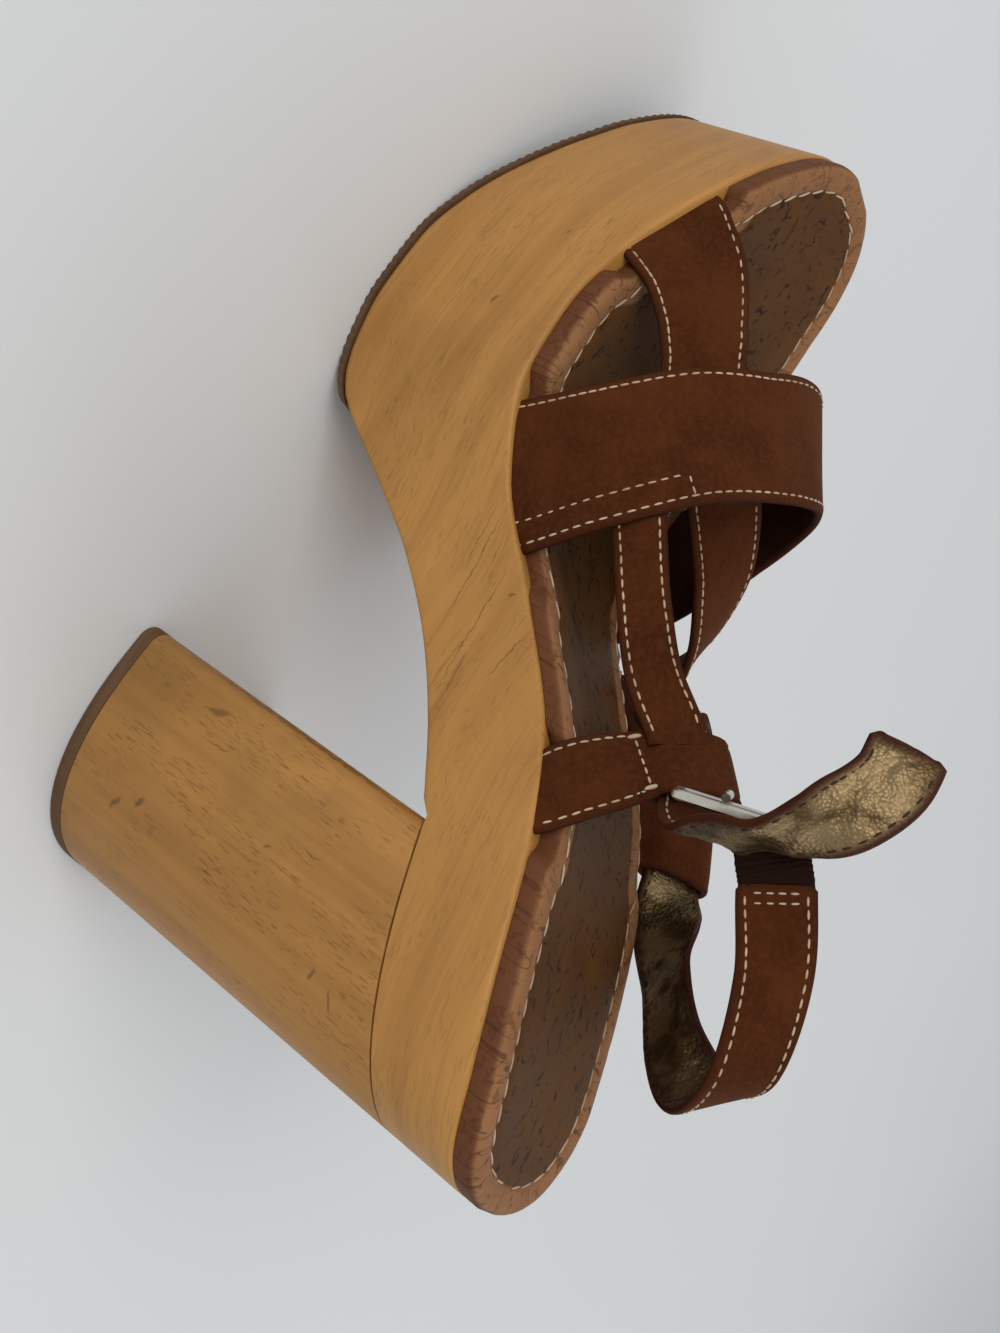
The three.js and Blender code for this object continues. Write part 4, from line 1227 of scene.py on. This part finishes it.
# %% [markdown]
# ## Stitches
# A stitch is modelled once, as a small ball drawn out to a grain with its ends bent down, and copied along
# every row. There is a stitch about every two and a half millimetres on the straps, and a longer one about
# every five on the footbed. The thread is thick and cream, and dark on the ankle strap's lining.

# %% One stitch, and rows of them
thread, tree, shader, place = new_material("cream_thread")
twist = noise_at(tree, place, 2200, 2)
soiled = noise_at(tree, place, 90, 2)
base = mixed(tree, step(tree, soiled, 0.3, 0.7), (0.40, 0.27, 0.165, 1), (0.60, 0.46, 0.32, 1))
base = stained(tree, base, twist, 0.4, (0.27, 0.15, 0.08, 1))
surface(tree, shader, base, plus_share(tree, 0.6, twist, 0.3), 0.5, twist, 0.5, 0.0001)
dark_thread = noisy_material("dark_thread", (2200, 2), ((0.018, 0.007, 0.004, 1), (0.055, 0.024, 0.013, 1)),
                             (0.75, 0), 0.2)

deselect()
bpy.ops.mesh.primitive_uv_sphere_add(segments=8, ring_count=6, radius=1, location=(0, 0, 0))
grain_of_thread = bpy.context.object
bpy.ops.object.mode_set(mode="EDIT")
bpy.ops.mesh.select_all(action="SELECT")
bpy.ops.transform.rotate(value=math.pi / 2, orient_axis="Y", center_override=(0, 0, 0))
bpy.ops.object.mode_set(mode="OBJECT")
stitch_points = []
for vertex in grain_of_thread.data.vertices:
    x, y, z = vertex.co
    fuller = math.copysign(abs(x) ** 0.8, x)
    stitch_points.append(Vector((fuller, y, z - 0.35 * x * x)))
stitch_faces = [tuple(p.vertices) for p in grain_of_thread.data.polygons]
bpy.data.objects.remove(grain_of_thread)
STITCH_SHARE = 0.76
jitter = random.Random(11)
print("one stitch has", len(stitch_faces), "faces")


def add_stitch(store, middle, along, side, out, length, thickness=0.25):
    verts, faces = store
    start = len(verts)
    tilt = math.radians(jitter.uniform(-3, 3))
    run = along * math.cos(tilt) + side * math.sin(tilt)
    aside = side * math.cos(tilt) - along * math.sin(tilt)
    for p in stitch_points:
        spot = middle + run * p.x * length / 2 + aside * p.y * thickness
        verts.append(at(*(spot + out * p.z * thickness * 0.85)))
    faces += [tuple(start + i for i in f) for f in stitch_faces]


def stitch_row(store, frames, sign, inset, start, end, thickness, face_side=1):
    """Stitches along a strap, some way in from one edge."""
    length = start + PITCH / 2
    while length < end - PITCH * 0.3:
        _, middle, along, side, out, wide = frame_at(frames, length)
        side, out = side.normalized(), out.normalized() * face_side
        spot = middle + side * sign * (wide - inset)
        _, next_middle, _, next_side, _, next_wide = frame_at(frames, length + 0.5)
        run = (next_middle + next_side.normalized() * sign * (next_wide - inset) - spot).normalized()
        add_stitch(store, spot + out * (thickness / 2), run, out.cross(run), out, PITCH * STITCH_SHARE)
        length += PITCH


def cross_row(store, frames, length, from_side, to_side, thickness):
    """Stitches across a strap at one place along it, between two distances from the middle."""
    _, middle, along, side, out, _ = frame_at(frames, length)
    along, side, out = along.normalized(), side.normalized(), out.normalized()
    count = max(round(abs(to_side - from_side) / PITCH), 1)
    gap = (to_side - from_side) / count
    for i in range(count):
        spot = middle + side * (from_side + gap * (i + 0.5)) + out * (thickness / 2 + 0.02)
        add_stitch(store, spot, side, along, out, abs(gap) * STITCH_SHARE)


def finish_stitches(name, store, material):
    stitches = new_object(name, *store)
    skin(stitches, 80)
    finish_piece(stitches, [], [material])


EDGE_IN, STEM_IN, LOOP_IN = 1.8, 1.5, 1.6
LATERAL_STITCHED, MEDIAL_STITCHED = 25.2, 9.5
STEM_JOIN, BOX_WIDTH = 38.5, 4.9
strap_store, lining_store = ([], []), ([], [])
band_long, cross_long, stem_long, ankle_long = (frames[-1][0] for frames in (band, cross, stem, ankle))
edge_rows = [(band, EDGE_IN, 3, band_long - 3, STRAP), (cross, EDGE_IN, 3, cross_long - 3, STRAP),
             (stem, STEM_IN, 2, stem_long - 2, STRAP), (ankle, EDGE_IN, 1.8, ankle_long - 3, ANKLE),
             (lateral, LOOP_IN, 2, LATERAL_STITCHED, STRAP), (medial, LOOP_IN, 2, MEDIAL_STITCHED, STRAP)]
for sign in (1, -1):
    for frames, inset, start, end, thickness in edge_rows:
        stitch_row(strap_store, frames, sign, inset, start, end, thickness)
ankle_side, loop_side = ANKLE_HALF - 3, SIDE_HALF - 2.6
for end_row in (1.6, 3.5):
    cross_row(strap_store, ankle, end_row, -ankle_side, ankle_side, ANKLE)
for frames, stitched in ((lateral, LATERAL_STITCHED), (medial, MEDIAL_STITCHED)):
    cross_row(strap_store, frames, stitched, -loop_side, loop_side, STRAP)
rear = -1 if band[0][3].x > 0 else 1
stitch_row(strap_store, band, rear, EDGE_IN + BOX_WIDTH, 3, STEM_JOIN, STRAP)
box_side = frame_at(band, STEM_JOIN)[5] - EDGE_IN
cross_row(strap_store, band, STEM_JOIN, rear * box_side, rear * (box_side - BOX_WIDTH), STRAP)
_, middle, along, side, out, _ = frame_at(lateral, LATERAL_STITCHED)
for sign in (1, -1):
    tack = middle + side * sign * (SIDE_HALF - 1.9) + out * (STRAP / 2 + 0.05)
    add_stitch(strap_store, tack, along, side, out, 3.0, 0.5)
for sign in (1, -1):
    stitch_row(lining_store, ankle, sign, EDGE_IN, 1.8, ankle_long - 2, ANKLE, face_side=-1)
print("stitches", len(strap_store[0]) // len(stitch_points))
finish_stitches("strap_stitches", strap_store, thread)
finish_stitches("lining_stitches", lining_store, dark_thread)

# %% Footbed stitches
FOOTBED_PITCH, FOOTBED_SHARE = 4.8, 0.86
footbed_store = ([], [])
line = outline_points(False)
inner = []
for i, p in enumerate(line):
    run = (line[(i + 1) % len(line)] - line[i - 1]).normalized()
    inner.append(p + Vector((run.y, -run.x)) * STITCH_IN)
inner = [p for p in inner if min((p - q).length for q in line[::3]) > STITCH_IN - 0.6]
lengths = [0.0]
for a, b in zip(inner, inner[1:] + inner[:1]):
    lengths.append(lengths[-1] + (b - a).length)


def on_inner(length):
    length %= lengths[-1]
    k = 0
    while lengths[k + 1] < length:
        k += 1
    a, b = inner[k], inner[(k + 1) % len(inner)]
    p = a.lerp(b, (length - lengths[k]) / max(lengths[k + 1] - lengths[k], 1e-9))
    return Vector((p.x, p.y, footbed_top(p.x, nearest_edge(p)[0])))


for k in range(int(lengths[-1] / FOOTBED_PITCH)):
    here = on_inner(k * FOOTBED_PITCH)
    run = (on_inner(k * FOOTBED_PITCH + 1.0) - here).normalized()
    side = Vector((0, 0, 1)).cross(run).normalized()
    slanted = (run + side * 0.12).normalized()
    up = run.cross(side)
    spot = here + Vector((0, 0, 0.15))
    add_stitch(footbed_store, spot, slanted, up.cross(slanted), up, FOOTBED_PITCH * FOOTBED_SHARE, 0.27)
finish_stitches("footbed_stitches", footbed_store, thread)
